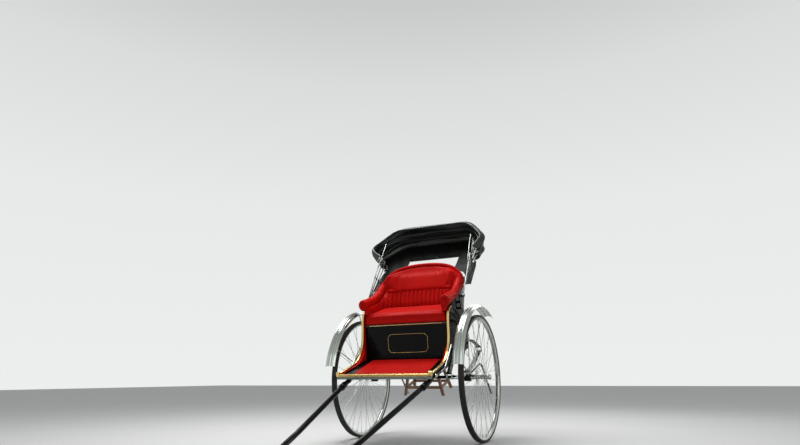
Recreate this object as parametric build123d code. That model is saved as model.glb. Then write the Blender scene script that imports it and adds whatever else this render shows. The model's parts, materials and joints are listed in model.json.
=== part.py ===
from build123d import *
import math
import os

# A two-seat pulled rickshaw, parked with its crossbar on the ground.
# Everything is drawn level, with the origin at the middle of the axle: +X to the
# rickshaw's left, -Y forward, +Z up. parked() then tips it forward onto its shafts.

# Stance and fits
PARK_TILT = 17.0
SEAT_GAP = 0.2
RUNNING_FIT = 0.06

# Body tub
BODY_HALF = 423.0
PANEL = 18.0
LINING = 5.0
FLOOR_TOP = 222.0
FLOOR_THICK = 24.0
FLOOR_FRONT = -686.0
EDGE_TOP = 240.0
TOE_RISE = 6.0
TRIM = 7.0
TRIM_OVERHANG = 1.5
BAR_DEPTH = 14.0
BACK_FOOT_Y = 250.0
BACK_KNEE_Z = 560.0
BACK_TOP_Y = 455.0
BACK_TOP_Z = 925.0

# Front edge of the side panels: a flat toe, an S-curve up to the seat and a shoulder
TOE_BACK_Y = -455.0
SWEEP_MID = (-285.0, 311.0)
SWEEP_TOP = (-216.0, 414.0)
RISER_TOP = (-174.0, 566.0)
SHOULDER_MID = (-136.0, 622.0)
SHOULDER_TOP = (-65.0, 644.0)

# Seat
SEAT_Z = 511.0
SEAT_FRONT = -169.0
SEAT_BOARD = 14.0
CUSHION = 86.0
CUSHION_SIDE = 8.0
CUSHION_ROUND = 16.0
SEAT_TRIM_HALF = 352.0
KICK_FOOT_Y = -206.0
KICK_THICK = 14.0
PLINTH_STEPS = ((16.0, 22.0), (8.0, 38.0))
MAT_THICK = 6.0
MAT_SIDE = 75.0
MAT_FRONT = 40.0
PAD = 52.0
PAD_SIDE = 48.0
PAD_CORNER = 150.0
PAD_TOP_CORNER = 250.0
PAD_STEPS = 4
PAD_FRONT_Y = -150.0

# Padded rolls along the arms, and the arched top of the back between them
ARM_R = 43.0
ROLL_INSET = 23.0
ROLL_ROUTE = [
    # in from the arm's line, y, z
    (0.0, -160.0, 712.0),
    (0.0, 70.0, 718.0),
    (1.0, 180.0, 748.0),
    (4.0, 275.0, 798.0),
    (22.0, 368.0, 855.0),
]
ARCH_FOOT_Z = 800.0
ARCH = [
    # in from the body's side, z
    (19.0, 838.0),
    (44.0, 872.0),
    (93.0, 912.0),
    (170.0, 944.0),
    (280.0, 964.0),
]
ARCH_TOP = 971.0
BOARD_DROP = 6.0

# Wheels
WHEEL_R = 530.0
WHEEL_OUT = 159.0
TYRE_WIDTH = 46.0
TYRE_DEPTH = 27.0
TYRE_TUCK = 2.0
TYRE_PROFILE = [
    # share of the half width, depth below the tread
    (1.0, 15.0),
    (0.82, 4.5),
    (0.4, 0.0),
]
WHEEL_FACETS = 64
RIM_WIDTH = 40.0
RIM_DEPTH = 15.0
RIM_LIP = 3.0
SPOKE_COUNT = 36
SPOKE_R = 1.9
SPOKE_LEAN = 9.0
SPOKE_END_X = 5.0
HUB_R = 21.5
HUB_FACETS = 24
HUB_INNER = 94.0
HUB_OUTER = 87.0
HUB_CAP = 20.0
CAP_WALL = 6.0
FLANGE_R = 34.0
FLANGE_X = 36.0
FLANGE_THICK = 5.0

# Axle and springs, with one full ellipse on each side
AXLE_R = 14.0
STUB_R = 10.0
BULGE_R = 20.0
BULGE_IN = 100.0
BULGE_HALF = 26.0
COLLAR_R = 36.0
COLLAR_EDGE = 1.0
SPRING_CLEAR = 13.0
SPRING_WIDTH = 40.0
SPRING_HALF = 420.0
LEAF_STEPS = 11
SHORT_LEAF_STEPS = 7
EYE_SPACING = 40.0
EYE_R = 9.0
LINK_THICK = 4.0
LOWER_RISE = 72.0
UPPER_RISE = 140.0
LEAF = 7.0
CLAMP_LENGTH = 76.0
CLAMP_THICK = 8.0
BRACKET_LENGTH = 110.0
BRACKET_THICK = 10.0
GUSSET_RISE = 40.0

# Shafts, sills and crossbar
SHAFT_R = 19.5
SHAFT_IN = 56.0
SHAFT_START = -600.0
SHAFT_START_Z = 160.0
SHAFT_BEND_Y = -659.0
SHAFT_BEND_DROP = 4.0
SHAFT_KNEE_Y = -1500.0
SHAFT_KNEE_IN = 98.0
SHAFT_KNEE_Z = 84.0
SHAFT_REACH = -1930.0
SHAFT_TIP_IN = 135.0
SHAFT_FACETS = 16
CROSSBAR_R = 19.0
CROSSBAR_OVER = 42.0
GROOVE = 2.0
GROOVE_OUT = 4.0
END_ROUND = 4.0
SILL_WIDTH = 38.0
SILL_DEPTH = 40.0
SILL_BACK = 232.0
CROSS_WIDTH = 34.0
CROSS_DEPTH = 32.0
CROSS_PLACES = (-560.0, -170.0, 200.0)
SOCKET_R = 26.0
SOCKET_LENGTH = 70.0
SOCKET_START = 24.0

# Side rails
RAIL_R = 6.0
RAIL_BALL_R = 14.0
ROD_FACETS = 8
ROLL_FACETS = 16
RAIL_ROUTE = [(-235.0, 345.0), (-330.0, 282.0), (-430.0, 222.0), (-500.0, 210.0), (-640.0, 210.0)]

# Tip props behind the axle
PROP_IN = 6.0
PROP_R = 8.0
PROP_ROUTE = [(405.0, 0.0), (440.0, -12.0), (466.0, -40.0), (645.0, -361.0)]

# Fenders
FENDER_R = 622.0
FENDER_SHEET = 2.5
FENDER_START = 26.0
FENDER_ARC = 109.0
FENDER_FACETS = 24
FENDER_PROFILE = [
    # out from the middle, drop below the crown
    (46.0, 20.0),
    (32.0, 6.5),
    (0.0, 0.0),
]
STAY_R = 4.0
STAY_OUT = 6.5
STAY_ANGLES = (40.0, 90.0, 130.0)

# Boarding stool
STOOL_Y = 160.0
STOOL_TOP_Z = 101.0
STOOL_TOP = (320.0, 190.0, 18.0)
STOOL_FOOT_Z = -182.0
LEG_TOP = 26.0
LEG_FOOT = 24.0
LEG_TOP_AT = (130.0, 70.0)
LEG_FOOT_AT = (188.0, 108.0)
STRETCHER_Z = -112.0
STRETCHER = (18.0, 22.0)
HANGER_X = 120.0
HANGER = (24.0, 5.0)

# Hood, a fan of four bows on one pair of pins
PIVOT_Y = 100.0
PIVOT_Z = 700.0
PIN_R = 8.0
PIN_HEAD_R = 14.0
POST_R = 18.0
POST_THICK = 7.0
POST_DROP = 110.0
POST_CLEAR = 3.0
POST_BOSS_R = 11.0
IRON_OUT = 9.0
IRON_STEP = 8.0
IRON_THICK = 6.0
IRON_WIDTH = 18.0
EYE_LUG_R = 15.0
KNUCKLE_REACH = 300.0
KNUCKLE_R = 14.0
HOOP_FOOT = 500.0
HOOP_DEPTH = 18.0
BOW_HALF_ANGLE = 0.45
CLOTH_THICK = 6.0
CLOTH_PROUD = 2.0
CLOTH_SAG = 24.0
CLOTH_GAP = 0.03
CLOTH_CLEAR = 0.8
CURTAIN_THICK = 4.0

BOWS = [
    # name, angle up from level behind the pins, layer on the pin, pull inward of its sides
    ("rear", 29.0, 0, 22.0),
    ("third", 34.5, 1, 10.0),
    ("second", 39.5, 2, 3.0),
    ("front", 44.0, 3, 0.0),
]
HOOP = [
    # out from the body's side, reach from the pins
    (68.0, 580.0),
    (158.0, 655.0),
    (177.0, 705.0),
    (112.0, 770.0),
    (34.0, 846.0),
    (-62.0, 908.0),
]
HOOP_SIDE = 540.0
CURTAIN_FOOT = (66.0, 190.0)
CURTAIN_SIDE = (66.0, 470.0)
WINDOW = [
    # out from the body's side, reach from the pins
    (36.0, 190.0),
    (28.0, 345.0),
    (-18.0, 425.0),
    (-110.0, 515.0),
    (-165.0, 650.0),
]

# Places that follow from the body's width
WHEEL_X = BODY_HALF + WHEEL_OUT
WALL_X = BODY_HALF - PANEL - SEAT_GAP
INNER_X = WALL_X - LINING - SEAT_GAP
ARM_X = BODY_HALF - ROLL_INSET
SPRING_X = BODY_HALF + SPRING_CLEAR + SPRING_WIDTH / 2
STAY_X = SPRING_X + SPRING_WIDTH / 2 + STAY_OUT
SHAFT_X = BODY_HALF - SHAFT_IN
POST_X = ARM_X + ARM_R + POST_CLEAR
IRON_X = POST_X + POST_THICK + IRON_OUT
FLOOR_UNDER = FLOOR_TOP - FLOOR_THICK
CUSHION_TOP = SEAT_Z + SEAT_BOARD + SEAT_GAP + CUSHION
BACK_LEAN = (BACK_TOP_Y - BACK_FOOT_Y) / (BACK_TOP_Z - BACK_KNEE_Z)
FAR = 4 * BODY_HALF
SAME_PLACE = 0.01
FLATNESS = 0.000001


def mirrored(shape):
    return [shape, mirror(shape, about=Plane.YZ)]


def largest(shape):
    return max(shape.solids(), key=lambda solid: solid.volume)


def polygon(points):
    return make_face(Polyline(*points, close=True))


def lathe(points):
    """A solid turned about the X axis, from its (x, radius) outline."""
    return revolve(polygon(points), Axis.X)


def flat_faces(corners):
    """One face through four corners that lie flat, otherwise two triangles."""
    ring = [corner for index, corner in enumerate(corners) if (corner - corners[index - 1]).length > SAME_PLACE]
    if len(ring) < 3:
        return []
    a, b, c = ring[:3]
    twist = (b - a).cross(c - a).dot(ring[-1] - a)
    flat = abs(twist) < FLATNESS * (b - a).cross(c - a).length
    split = [ring] if flat else [[a, b, c], [a, c, ring[-1]]]
    return [polygon(points) for points in split]


def skin(sections, closed=False):
    """A flat-faced solid through a row of matching outlines."""
    rings = [[Vector(*point) for point in section] for section in sections]
    faces = [] if closed else [polygon(rings[0]), polygon(rings[-1])]
    pairs = zip(rings, rings[1:] + rings[:1]) if closed else zip(rings, rings[1:])
    for near, far in pairs:
        for index in range(len(near)):
            faces += flat_faces([near[index - 1], near[index], far[index], far[index - 1]])
    solid = Solid(Shell([face.face() for face in faces]))
    return solid if solid.volume > 0 else Solid(solid.wrapped.Reversed())


def faceted(points, sides, arc=360.0, start=0.0):
    """A turned shape with flat sides, from its (x, radius) outline."""
    steps = sides if arc == 360.0 else sides + 1
    turns = [math.radians(start + arc * step / sides) for step in range(steps)]
    sections = [[(x, r * math.cos(turn), r * math.sin(turn)) for x, r in points] for turn in turns]
    return skin(sections, closed=arc == 360.0)


def side_slab(face, x_from, x_to):
    """A side-view (y, z) face made solid between two x values."""
    return extrude(Plane.YZ.offset(x_from) * face, amount=x_to - x_from)


def swept_rod(path, radius, sides=ROD_FACETS):
    """A flat-sided rod along a path, with mitred corners."""
    start = Plane(origin=path @ 0, z_dir=path % 0)
    return sweep(start * RegularPolygon(radius, sides), path=path, transition=Transition.RIGHT)


def straight_rod(start, end, profile):
    run = Vector(*end) - Vector(*start)
    return extrude(Plane(origin=start, z_dir=run) * profile, amount=run.length)


def parallel(points, distance):
    """An open line moved to its left by `distance`, with mitred corners."""
    moved = []
    for index, point in enumerate(points):
        before = points[max(index - 1, 0)]
        after = points[min(index + 1, len(points) - 1)]
        runs = [(before, point), (point, after)]
        steps = [Vector(b[0] - a[0], b[1] - a[1]) for a, b in runs if a != b]
        sides = [Vector(-step.Y, step.X).normalized() for step in steps]
        miter = (sides[0] + sides[-1]).normalized()
        reach = distance / miter.dot(sides[0])
        moved.append((point[0] + miter.X * reach, point[1] + miter.Y * reach))
    return moved


def level_z(y_level, height):
    """The level-frame z of a point that stands `height` over the ground when parked."""
    tilt = math.radians(PARK_TILT)
    return (height - WHEEL_R - y_level * math.sin(tilt)) / math.cos(tilt)


# Wheels


def tyre():
    seat = WHEEL_R - TYRE_DEPTH
    half = TYRE_WIDTH / 2
    foot = RIM_WIDTH / 2 - RIM_LIP - SEAT_GAP - TYRE_TUCK
    side = [(foot, seat)] + [(share * half, WHEEL_R - drop) for share, drop in TYRE_PROFILE]
    return faceted(side + [(-x, r) for x, r in reversed(side)], WHEEL_FACETS)


def rim():
    """A channel that the tyre sits in, with its lips turned up beside the tyre."""
    outer = WHEEL_R - TYRE_DEPTH - SEAT_GAP
    inner = outer - RIM_DEPTH
    half = RIM_WIDTH / 2
    side = [(half / 2, inner), (half, outer + RIM_LIP), (half - RIM_LIP, outer + RIM_LIP),
            (half - RIM_LIP, outer)]
    return faceted(side + [(-x, r) for x, r in reversed(side)], WHEEL_FACETS)


def hub(side):
    """The barrel, two flanges and outer cap of the wheel on one side (+1 or -1)."""
    bore = STUB_R + RUNNING_FIT
    cap = HUB_OUTER
    near = FLANGE_X - FLANGE_THICK / 2
    far = FLANGE_X + FLANGE_THICK / 2
    points = [(-HUB_INNER, 0), (-HUB_INNER, HUB_R), (-far, HUB_R), (-far, FLANGE_R),
              (-near, FLANGE_R), (-near, HUB_R), (near, HUB_R), (near, FLANGE_R),
              (far, FLANGE_R), (far, HUB_R), (cap - HUB_CAP, HUB_R), (cap - HUB_CAP, HUB_R + GROOVE),
              (cap - END_ROUND, HUB_R + GROOVE), (cap, HUB_R - GROOVE), (cap, 0)]
    barrel = faceted([(side * x, r) for x, r in points], HUB_FACETS)
    depth = HUB_INNER + cap - CAP_WALL
    middle = (cap - CAP_WALL - HUB_INNER) / 2
    return (barrel - Pos(side * middle, 0, 0) * (Rot(0, 90, 0) * Cylinder(bore, depth))).solid()


def spokes():
    """Straight wires, which lean one way off one flange and back off the other."""
    start_r = FLANGE_R + 1.5 * SEAT_GAP
    end_r = (WHEEL_R - TYRE_DEPTH - RIM_DEPTH) * math.cos(math.pi / WHEEL_FACETS) - 4 * SEAT_GAP
    wires = []
    for number in range(SPOKE_COUNT):
        side = 1 if number % 2 else -1
        angle = math.radians(360.0 * number / SPOKE_COUNT)
        turned = angle + side * math.radians(SPOKE_LEAN)
        start = (side * FLANGE_X, start_r * math.cos(angle), start_r * math.sin(angle))
        end = (side * SPOKE_END_X, end_r * math.cos(turned), end_r * math.sin(turned))
        wires.append(straight_rod(start, end, RegularPolygon(SPOKE_R, 6)))
    return wires


def wheel(side):
    name = "left" if side > 0 else "right"
    place = Pos(side * WHEEL_X, 0, 0)
    return {
        "tyre_" + name: place * tyre(),
        "rim_" + name: place * rim(),
        "spokes_" + name: [place * wire for wire in spokes()],
        "hub_" + name: place * hub(side),
    }


# Axle and springs


def axle():
    stub_end = WHEEL_X + HUB_OUTER - CAP_WALL - END_ROUND / 2
    shoulder = WHEEL_X - HUB_INNER - 0.5
    collar = SPRING_X - SPRING_WIDTH / 2 - COLLAR_EDGE
    bulge = BODY_HALF - BULGE_IN
    half = [(bulge - BULGE_HALF, AXLE_R), (bulge, BULGE_R), (bulge + BULGE_HALF, AXLE_R),
            (collar, AXLE_R), (collar, COLLAR_R), (shoulder, COLLAR_R), (shoulder, STUB_R),
            (stub_end, STUB_R)]
    left = [(-x, r) for x, r in reversed(half)]
    return lathe([(-stub_end, 0)] + left + half + [(stub_end, 0)])


def arc_radius(rise):
    return (SPRING_HALF ** 2 + rise ** 2) / (2 * abs(rise))


def leaf_step(rise):
    """Half the angle that each flat of a leaf spans."""
    return math.asin(SPRING_HALF / arc_radius(rise)) / LEAF_STEPS


def leaf(middle_z, rise, flats, layer=0):
    """A leaf whose ends rise by `rise` (drop if negative); layer 1 lies outside layer 0."""
    radius = arc_radius(rise)
    up = 1 if rise > 0 else -1
    step = leaf_step(rise)
    turns = [step * (2 * number - flats) for number in range(flats + 1)]
    outside = radius + layer * (LEAF + SEAT_GAP)
    middle = radius * math.cos(step)
    edges = [[(r * math.sin(turn), middle_z + up * (middle - r * math.cos(turn))) for turn in turns]
             for r in (outside - LEAF / 2, outside + LEAF / 2)]
    return side_slab(polygon(edges[0] + edges[1][::-1]), SPRING_X - SPRING_WIDTH / 2, SPRING_X + SPRING_WIDTH / 2)


def main_leaf(middle_z, rise):
    blade = leaf(middle_z, rise, LEAF_STEPS)
    for end in (-1, 1):
        ring = Pos(end * SPRING_HALF, middle_z + rise) * RegularPolygon(EYE_R, ROD_FACETS)
        blade += side_slab(ring, SPRING_X - SPRING_WIDTH / 2, SPRING_X + SPRING_WIDTH / 2)
    return blade.solid()


def lower_leaf_z():
    return COLLAR_R + 1.5 * LEAF + 2 * SEAT_GAP


def lower_eye_z():
    return lower_leaf_z() + LOWER_RISE


def upper_leaf_z():
    return lower_eye_z() + EYE_SPACING + UPPER_RISE


def lower_springs():
    blades = mirrored(main_leaf(lower_leaf_z(), LOWER_RISE))
    return blades + mirrored(leaf(lower_leaf_z(), LOWER_RISE, SHORT_LEAF_STEPS, 1))


def upper_springs():
    blades = mirrored(main_leaf(upper_leaf_z(), -UPPER_RISE))
    return blades + mirrored(leaf(upper_leaf_z(), -UPPER_RISE, SHORT_LEAF_STEPS, 1))


def shackles():
    """Pairs of links beside the eyes of the two leaves, at both ends of each spring."""
    links = []
    long = EYE_SPACING / 2 + EYE_R
    short = EYE_SPACING / 2
    outline = polygon([(EYE_R, short), (EYE_R / 2, long), (-EYE_R / 2, long), (-EYE_R, short),
                       (-EYE_R, -short), (-EYE_R / 2, -long), (EYE_R / 2, -long), (EYE_R, -short)])
    for end in (-1, 1):
        for face in (-1, 1):
            edge = SPRING_X + face * (SPRING_WIDTH / 2 + SEAT_GAP + LINK_THICK / 2)
            link = extrude(Plane.YZ * outline, amount=LINK_THICK / 2, both=True)
            links += mirrored(Pos(edge, end * SPRING_HALF, lower_eye_z() + EYE_SPACING / 2) * link)
    return links


def spring_clamps():
    """Plates over the lower leaves, above the axle's collars."""
    step = leaf_step(LOWER_RISE)
    flat = (arc_radius(LOWER_RISE) - LEAF / 2) * math.sin(step)
    sag = max(0, CLAMP_LENGTH / 2 - flat) * math.tan(2 * step)
    low = lower_leaf_z() + LEAF / 2 + sag + SEAT_GAP
    plate = Box(SPRING_WIDTH, CLAMP_LENGTH, CLAMP_THICK)
    plate = chamfer(plate.edges().group_by(Axis.Z)[-1], CLAMP_THICK / 3)
    return mirrored(Pos(SPRING_X, 0, low + CLAMP_THICK / 2) * plate)


def spring_brackets():
    """Arms with gussets, from the body's sides out over the tops of the springs."""
    low = upper_leaf_z() + 1.5 * LEAF + 2 * SEAT_GAP
    top = low + BRACKET_THICK
    x_from = BODY_HALF + SEAT_GAP
    x_to = SPRING_X + SPRING_WIDTH / 2
    arm = Pos((x_from + x_to) / 2, 0, low + BRACKET_THICK / 2) * Box(x_to - x_from, BRACKET_LENGTH, BRACKET_THICK)
    web = extrude(Plane.XZ * polygon([(x_from, top), (x_to, top), (x_from, top + GUSSET_RISE)]),
                  amount=BRACKET_THICK / 2, both=True)
    for place in (-1, 1):
        arm += Pos(0, place * (BRACKET_LENGTH / 2 - BRACKET_THICK), 0) * web
    return mirrored(arm.solid())


# Body tub


def front_edge():
    """The gilded front edge of a side panel, from its toe to its shoulder."""
    toe = Line((FLOOR_FRONT, EDGE_TOP), (TOE_BACK_Y, EDGE_TOP + TOE_RISE))
    sweep_up = ThreePointArc(toe @ 1, SWEEP_MID, SWEEP_TOP)
    riser = Line(sweep_up @ 1, RISER_TOP)
    shoulder = ThreePointArc(riser @ 1, SHOULDER_MID, SHOULDER_TOP)
    return [toe.edge(), sweep_up.edge(), riser.edge(), shoulder.edge()]


def roll_route():
    """The middle line of the padded roll along the left arm, from its front end up."""
    return [(ARM_X - inset, y, z) for inset, y, z in ROLL_ROUTE]


def panel_face():
    """The whole side outline of the tub, with its top inside the padded roll of the arm."""
    rise = [(y, z - ARM_R / 2) for inset, y, z in ROLL_ROUTE[1:]]
    top = rise[-1][1]
    rear_y = BACK_FOOT_Y + BACK_LEAN * (top - BACK_KNEE_Z)
    rest = Polyline(SHOULDER_TOP, (SHOULDER_TOP[0], rise[0][1]), *rise, (rear_y, top),
                    (BACK_FOOT_Y, BACK_KNEE_Z), (BACK_FOOT_Y, FLOOR_UNDER), (FLOOR_FRONT, FLOOR_UNDER),
                    (FLOOR_FRONT, EDGE_TOP))
    return make_face(front_edge() + rest.edges())


def trim_face(depth):
    """The strip of the side outline that lies along its front edge."""
    return make_face(Wire(front_edge()).offset_2d(depth, side=Side.RIGHT, closed=True).edges())


def side_panels():
    panel = side_slab(panel_face() - trim_face(TRIM + SEAT_GAP), BODY_HALF - PANEL, BODY_HALF)
    return mirrored(largest(panel - left_roll(SEAT_GAP)))


def gold_edges():
    """Gold beads along the front edges of the side panels, a little proud of them."""
    strip = side_slab(trim_face(TRIM), BODY_HALF - PANEL, BODY_HALF + TRIM_OVERHANG)
    return mirrored(largest(strip - left_roll(SEAT_GAP)))


def side_linings():
    """Red cloth on the inner faces of the side panels, from the floor to the arms."""
    lining = side_slab(panel_face() - trim_face(TRIM + SEAT_GAP), WALL_X - LINING, WALL_X)
    back = BACK_FOOT_Y - PANEL - SEAT_GAP
    space = Pos(0, back, FLOOR_TOP + SEAT_GAP) * Box(FAR, FAR, FAR, align=(Align.CENTER, Align.MAX, Align.MIN))
    return mirrored(largest((lining & space) - left_roll(SEAT_GAP)))


def floor():
    back = BACK_FOOT_Y - PANEL - SEAT_GAP
    middle = (FLOOR_FRONT + back) / 2
    return Pos(0, middle, FLOOR_TOP - FLOOR_THICK / 2) * Box(2 * WALL_X, back - FLOOR_FRONT, FLOOR_THICK)


def floor_mat():
    front = FLOOR_FRONT + MAT_FRONT
    back = KICK_FOOT_Y - PLINTH_STEPS[0][0] - MAT_THICK
    pad = Box(2 * (INNER_X - MAT_SIDE), back - front, MAT_THICK)
    return Pos(0, (front + back) / 2, FLOOR_TOP + SEAT_GAP + MAT_THICK / 2) * pad


def front_bar():
    """The gold bar along the front edge of the floor."""
    y_middle = FLOOR_FRONT - SEAT_GAP - BAR_DEPTH / 2
    height = EDGE_TOP - FLOOR_TOP
    bar = Pos(0, y_middle, FLOOR_TOP + height / 2) * Box(2 * BODY_HALF, BAR_DEPTH, height)
    return chamfer(bar.edges().filter_by(Axis.X).sort_by(Axis.Y)[:2], BAR_DEPTH / 4)


def toe_plate():
    """The plain metal strip under the gold bar."""
    y_middle = FLOOR_FRONT - SEAT_GAP - BAR_DEPTH / 2
    middle = FLOOR_TOP - SEAT_GAP - FLOOR_THICK / 2
    return Pos(0, y_middle, middle) * Box(2 * BODY_HALF, BAR_DEPTH, FLOOR_THICK)


def arch(drop=0.0):
    """The front-view outline of the arched back, lowered by `drop` all round."""
    top = [(BODY_HALF - inset - drop, z - drop) for inset, z in ARCH]
    half = [(WALL_X, 0), (WALL_X, ARCH_FOOT_Z)] + top
    crest = [(0, ARCH_TOP - drop)]
    return extrude(Plane.XZ * polygon(half + crest + [(-x, z) for x, z in reversed(half)]), amount=FAR, both=True)


def back_line(setback):
    top = ARCH_TOP + BOARD_DROP
    return [(BACK_FOOT_Y - setback, FLOOR_UNDER), (BACK_FOOT_Y - setback, BACK_KNEE_Z),
            (BACK_FOOT_Y - setback + BACK_LEAN * (top - BACK_KNEE_Z), top)]


def beside_rolls(shape):
    """A shape across the tub, cut clear of the rolls on both arms."""
    for roll in mirrored(left_roll(SEAT_GAP)):
        shape -= roll
    return largest(shape)


def back_panel():
    """The black board behind the seat, upright to the knee and leaning back above it."""
    slab = side_slab(polygon(back_line(PANEL) + back_line(0)[::-1]), -WALL_X, WALL_X)
    return beside_rolls(slab & arch(BOARD_DROP))


# Seat


def seat_hollow(z, half, back_y, corner):
    """A plan of the passengers' space, with its rear corners rounded in flats."""
    turns = [math.radians(90 * step / PAD_STEPS) for step in range(PAD_STEPS + 1)]
    bend = [(half - corner * (1 - math.cos(turn)), back_y - corner * (1 - math.sin(turn))) for turn in turns]
    side = [(half, 3 * PAD_FRONT_Y)] + bend
    return [(x, y, z) for x, y in side] + [(-x, y, z) for x, y in reversed(side)]


def seat_back():
    """The upholstery round the inside of the tub, hollowed where the passengers sit."""
    bottom = CUSHION_TOP + SEAT_GAP
    wall = PANEL + 2 * SEAT_GAP
    top_y, top = back_line(wall)[2]
    low_y = BACK_FOOT_Y - wall + BACK_LEAN * (bottom - BACK_KNEE_Z)
    rise = [(y, z - ARM_R / 2) for inset, y, z in ROLL_ROUTE[1:4]]
    side = [(PAD_FRONT_Y, bottom), (PAD_FRONT_Y, rise[0][1])] + rise
    slab = side_slab(polygon(side + [(rise[-1][0], top), (top_y, top), (low_y, bottom)]), -INNER_X, INNER_X)
    low = seat_hollow(bottom - 1, INNER_X - PAD_SIDE, low_y - PAD, PAD_CORNER)
    high = seat_hollow(top + 1, INNER_X - PAD_SIDE / 2, top_y - PAD, PAD_TOP_CORNER)
    return beside_rolls((slab & arch()) - skin([low, high]))


def seat_board():
    back = BACK_FOOT_Y - PANEL - SEAT_GAP
    middle = (SEAT_FRONT + back) / 2
    return Pos(0, middle, SEAT_Z + SEAT_BOARD / 2) * Box(2 * INNER_X, back - SEAT_FRONT, SEAT_BOARD)


def gold_seat_trim():
    """The thin gold bead along the front of the seat board."""
    bead = Box(2 * SEAT_TRIM_HALF, TRIM, SEAT_BOARD)
    return Pos(0, SEAT_FRONT - SEAT_GAP - TRIM / 2, SEAT_Z + SEAT_BOARD / 2) * bead


def cushion():
    back = BACK_FOOT_Y - PANEL - CUSHION_SIDE / 2
    middle = (SEAT_FRONT + back) / 2
    pad = Box(2 * (INNER_X - CUSHION_SIDE), back - SEAT_FRONT, CUSHION)
    pad = fillet(pad.edges().filter_by(Axis.X), CUSHION_ROUND)
    return Pos(0, middle, CUSHION_TOP - CUSHION / 2) * pad


def kick_panel():
    """The leaning panel under the seat, with a stepped plinth at its foot."""
    foot = FLOOR_TOP + SEAT_GAP
    top = SEAT_Z - SEAT_GAP
    steps = []
    level = foot
    for out, rise in PLINTH_STEPS:
        steps += [(KICK_FOOT_Y - out, level), (KICK_FOOT_Y - out, foot + rise)]
        level = foot + rise
    face = polygon(steps + [(KICK_FOOT_Y, level), (SEAT_FRONT + TRIM, top),
                            (SEAT_FRONT + TRIM + KICK_THICK, top), (KICK_FOOT_Y + KICK_THICK, foot)])
    return side_slab(face, -INNER_X, INNER_X)


def left_roll(clearance=0.0):
    return swept_rod(Polyline(*roll_route()), ARM_R + clearance, ROLL_FACETS)


def arm_rolls():
    """The padded rolls along both arms, up to the sides of the arched back."""
    return mirrored(left_roll())


# Frame and shafts


def sills():
    """Two timbers under the floor that the shafts run on from."""
    top = FLOOR_UNDER - SEAT_GAP
    middle = (SILL_BACK + SHAFT_START) / 2
    timber = Box(SILL_WIDTH, SILL_BACK - SHAFT_START, SILL_DEPTH)
    return mirrored(Pos(SHAFT_X, middle, top - SILL_DEPTH / 2) * timber)


def cross_members():
    top = FLOOR_UNDER - SEAT_GAP
    span = 2 * (SHAFT_X - SILL_WIDTH / 2 - SEAT_GAP)
    return [Pos(0, y, top - CROSS_DEPTH / 2) * Box(span, CROSS_WIDTH, CROSS_DEPTH) for y in CROSS_PLACES]


def shaft_route():
    tip_z = level_z(SHAFT_REACH, CROSSBAR_R)
    return [(SHAFT_X, SHAFT_START - SEAT_GAP, SHAFT_START_Z),
            (SHAFT_X, SHAFT_BEND_Y, SHAFT_START_Z - SHAFT_BEND_DROP),
            (SHAFT_X - SHAFT_KNEE_IN, SHAFT_KNEE_Y, SHAFT_KNEE_Z),
            (SHAFT_X - SHAFT_TIP_IN, SHAFT_REACH, tip_z)]


def shaft(side):
    """One round shaft, coped round the crossbar at its tip."""
    path = Polyline(*[(side * x, y, z) for x, y, z in shaft_route()])
    bar = swept_rod(path, SHAFT_R, SHAFT_FACETS)
    tip = Pos(0, SHAFT_REACH, level_z(SHAFT_REACH, CROSSBAR_R))
    cope = tip * (Rot(0, 90, 0) * Cylinder(CROSSBAR_R + SEAT_GAP, FAR))
    beyond = tip * Box(FAR, 10 * SHAFT_R, 10 * SHAFT_R, align=(Align.CENTER, Align.MAX, Align.CENTER))
    return largest(bar - cope - beyond)


def crossbar():
    """The bar the puller pushes on, with a turned groove outside each shaft."""
    groove = SHAFT_X - SHAFT_TIP_IN + SHAFT_R + GROOVE_OUT
    end = groove + CROSSBAR_OVER
    half = [(groove, CROSSBAR_R), (groove, CROSSBAR_R - GROOVE), (groove + GROOVE, CROSSBAR_R - GROOVE),
            (groove + GROOVE, CROSSBAR_R), (end - END_ROUND, CROSSBAR_R), (end, CROSSBAR_R - END_ROUND)]
    left = [(-x, r) for x, r in reversed(half)]
    bar = lathe([(-end, 0)] + left + half + [(end, 0)])
    return Pos(0, SHAFT_REACH, level_z(SHAFT_REACH, CROSSBAR_R)) * bar


def shaft_sockets():
    """Iron collars round the shafts where they leave the body."""
    bend, knee = [Vector(*point) for point in shaft_route()[1:3]]
    run = (knee - bend).normalized()
    flat = math.cos(math.pi / SHAFT_FACETS)
    ring = RegularPolygon(SOCKET_R, SHAFT_FACETS) - RegularPolygon((SHAFT_R + SEAT_GAP) / flat, SHAFT_FACETS)
    return mirrored(extrude(Plane(origin=bend + run * SOCKET_START, z_dir=run) * ring, amount=SOCKET_LENGTH))


def side_rails():
    """Chrome rods outside the foot of each side panel, each with a ball at its front."""
    out = BODY_HALF + TRIM_OVERHANG + SEAT_GAP + RAIL_BALL_R
    start = (BODY_HALF + SEAT_GAP,) + RAIL_ROUTE[0]
    rod = swept_rod(Polyline(start, *[(out, y, z) for y, z in RAIL_ROUTE]), RAIL_R)
    turns = [math.pi * step / ROD_FACETS for step in range(ROD_FACETS + 1)]
    ball = faceted([(RAIL_BALL_R * math.cos(turn), RAIL_BALL_R * math.sin(turn)) for turn in turns], 2 * ROD_FACETS)
    ball = Pos(out, RAIL_ROUTE[-1][0] - RAIL_BALL_R / 2, RAIL_ROUTE[-1][1]) * ball
    return mirrored((rod + ball).solid())


def tip_props():
    """The pair of irons behind the axle that stop the body from tipping back."""
    x = SPRING_X - PROP_IN
    route = [(x, COLLAR_R + SEAT_GAP, PROP_ROUTE[0][1])] + [(x, y, z) for y, z in PROP_ROUTE]
    return mirrored(swept_rod(Polyline(*route), PROP_R))


# Fenders


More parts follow.
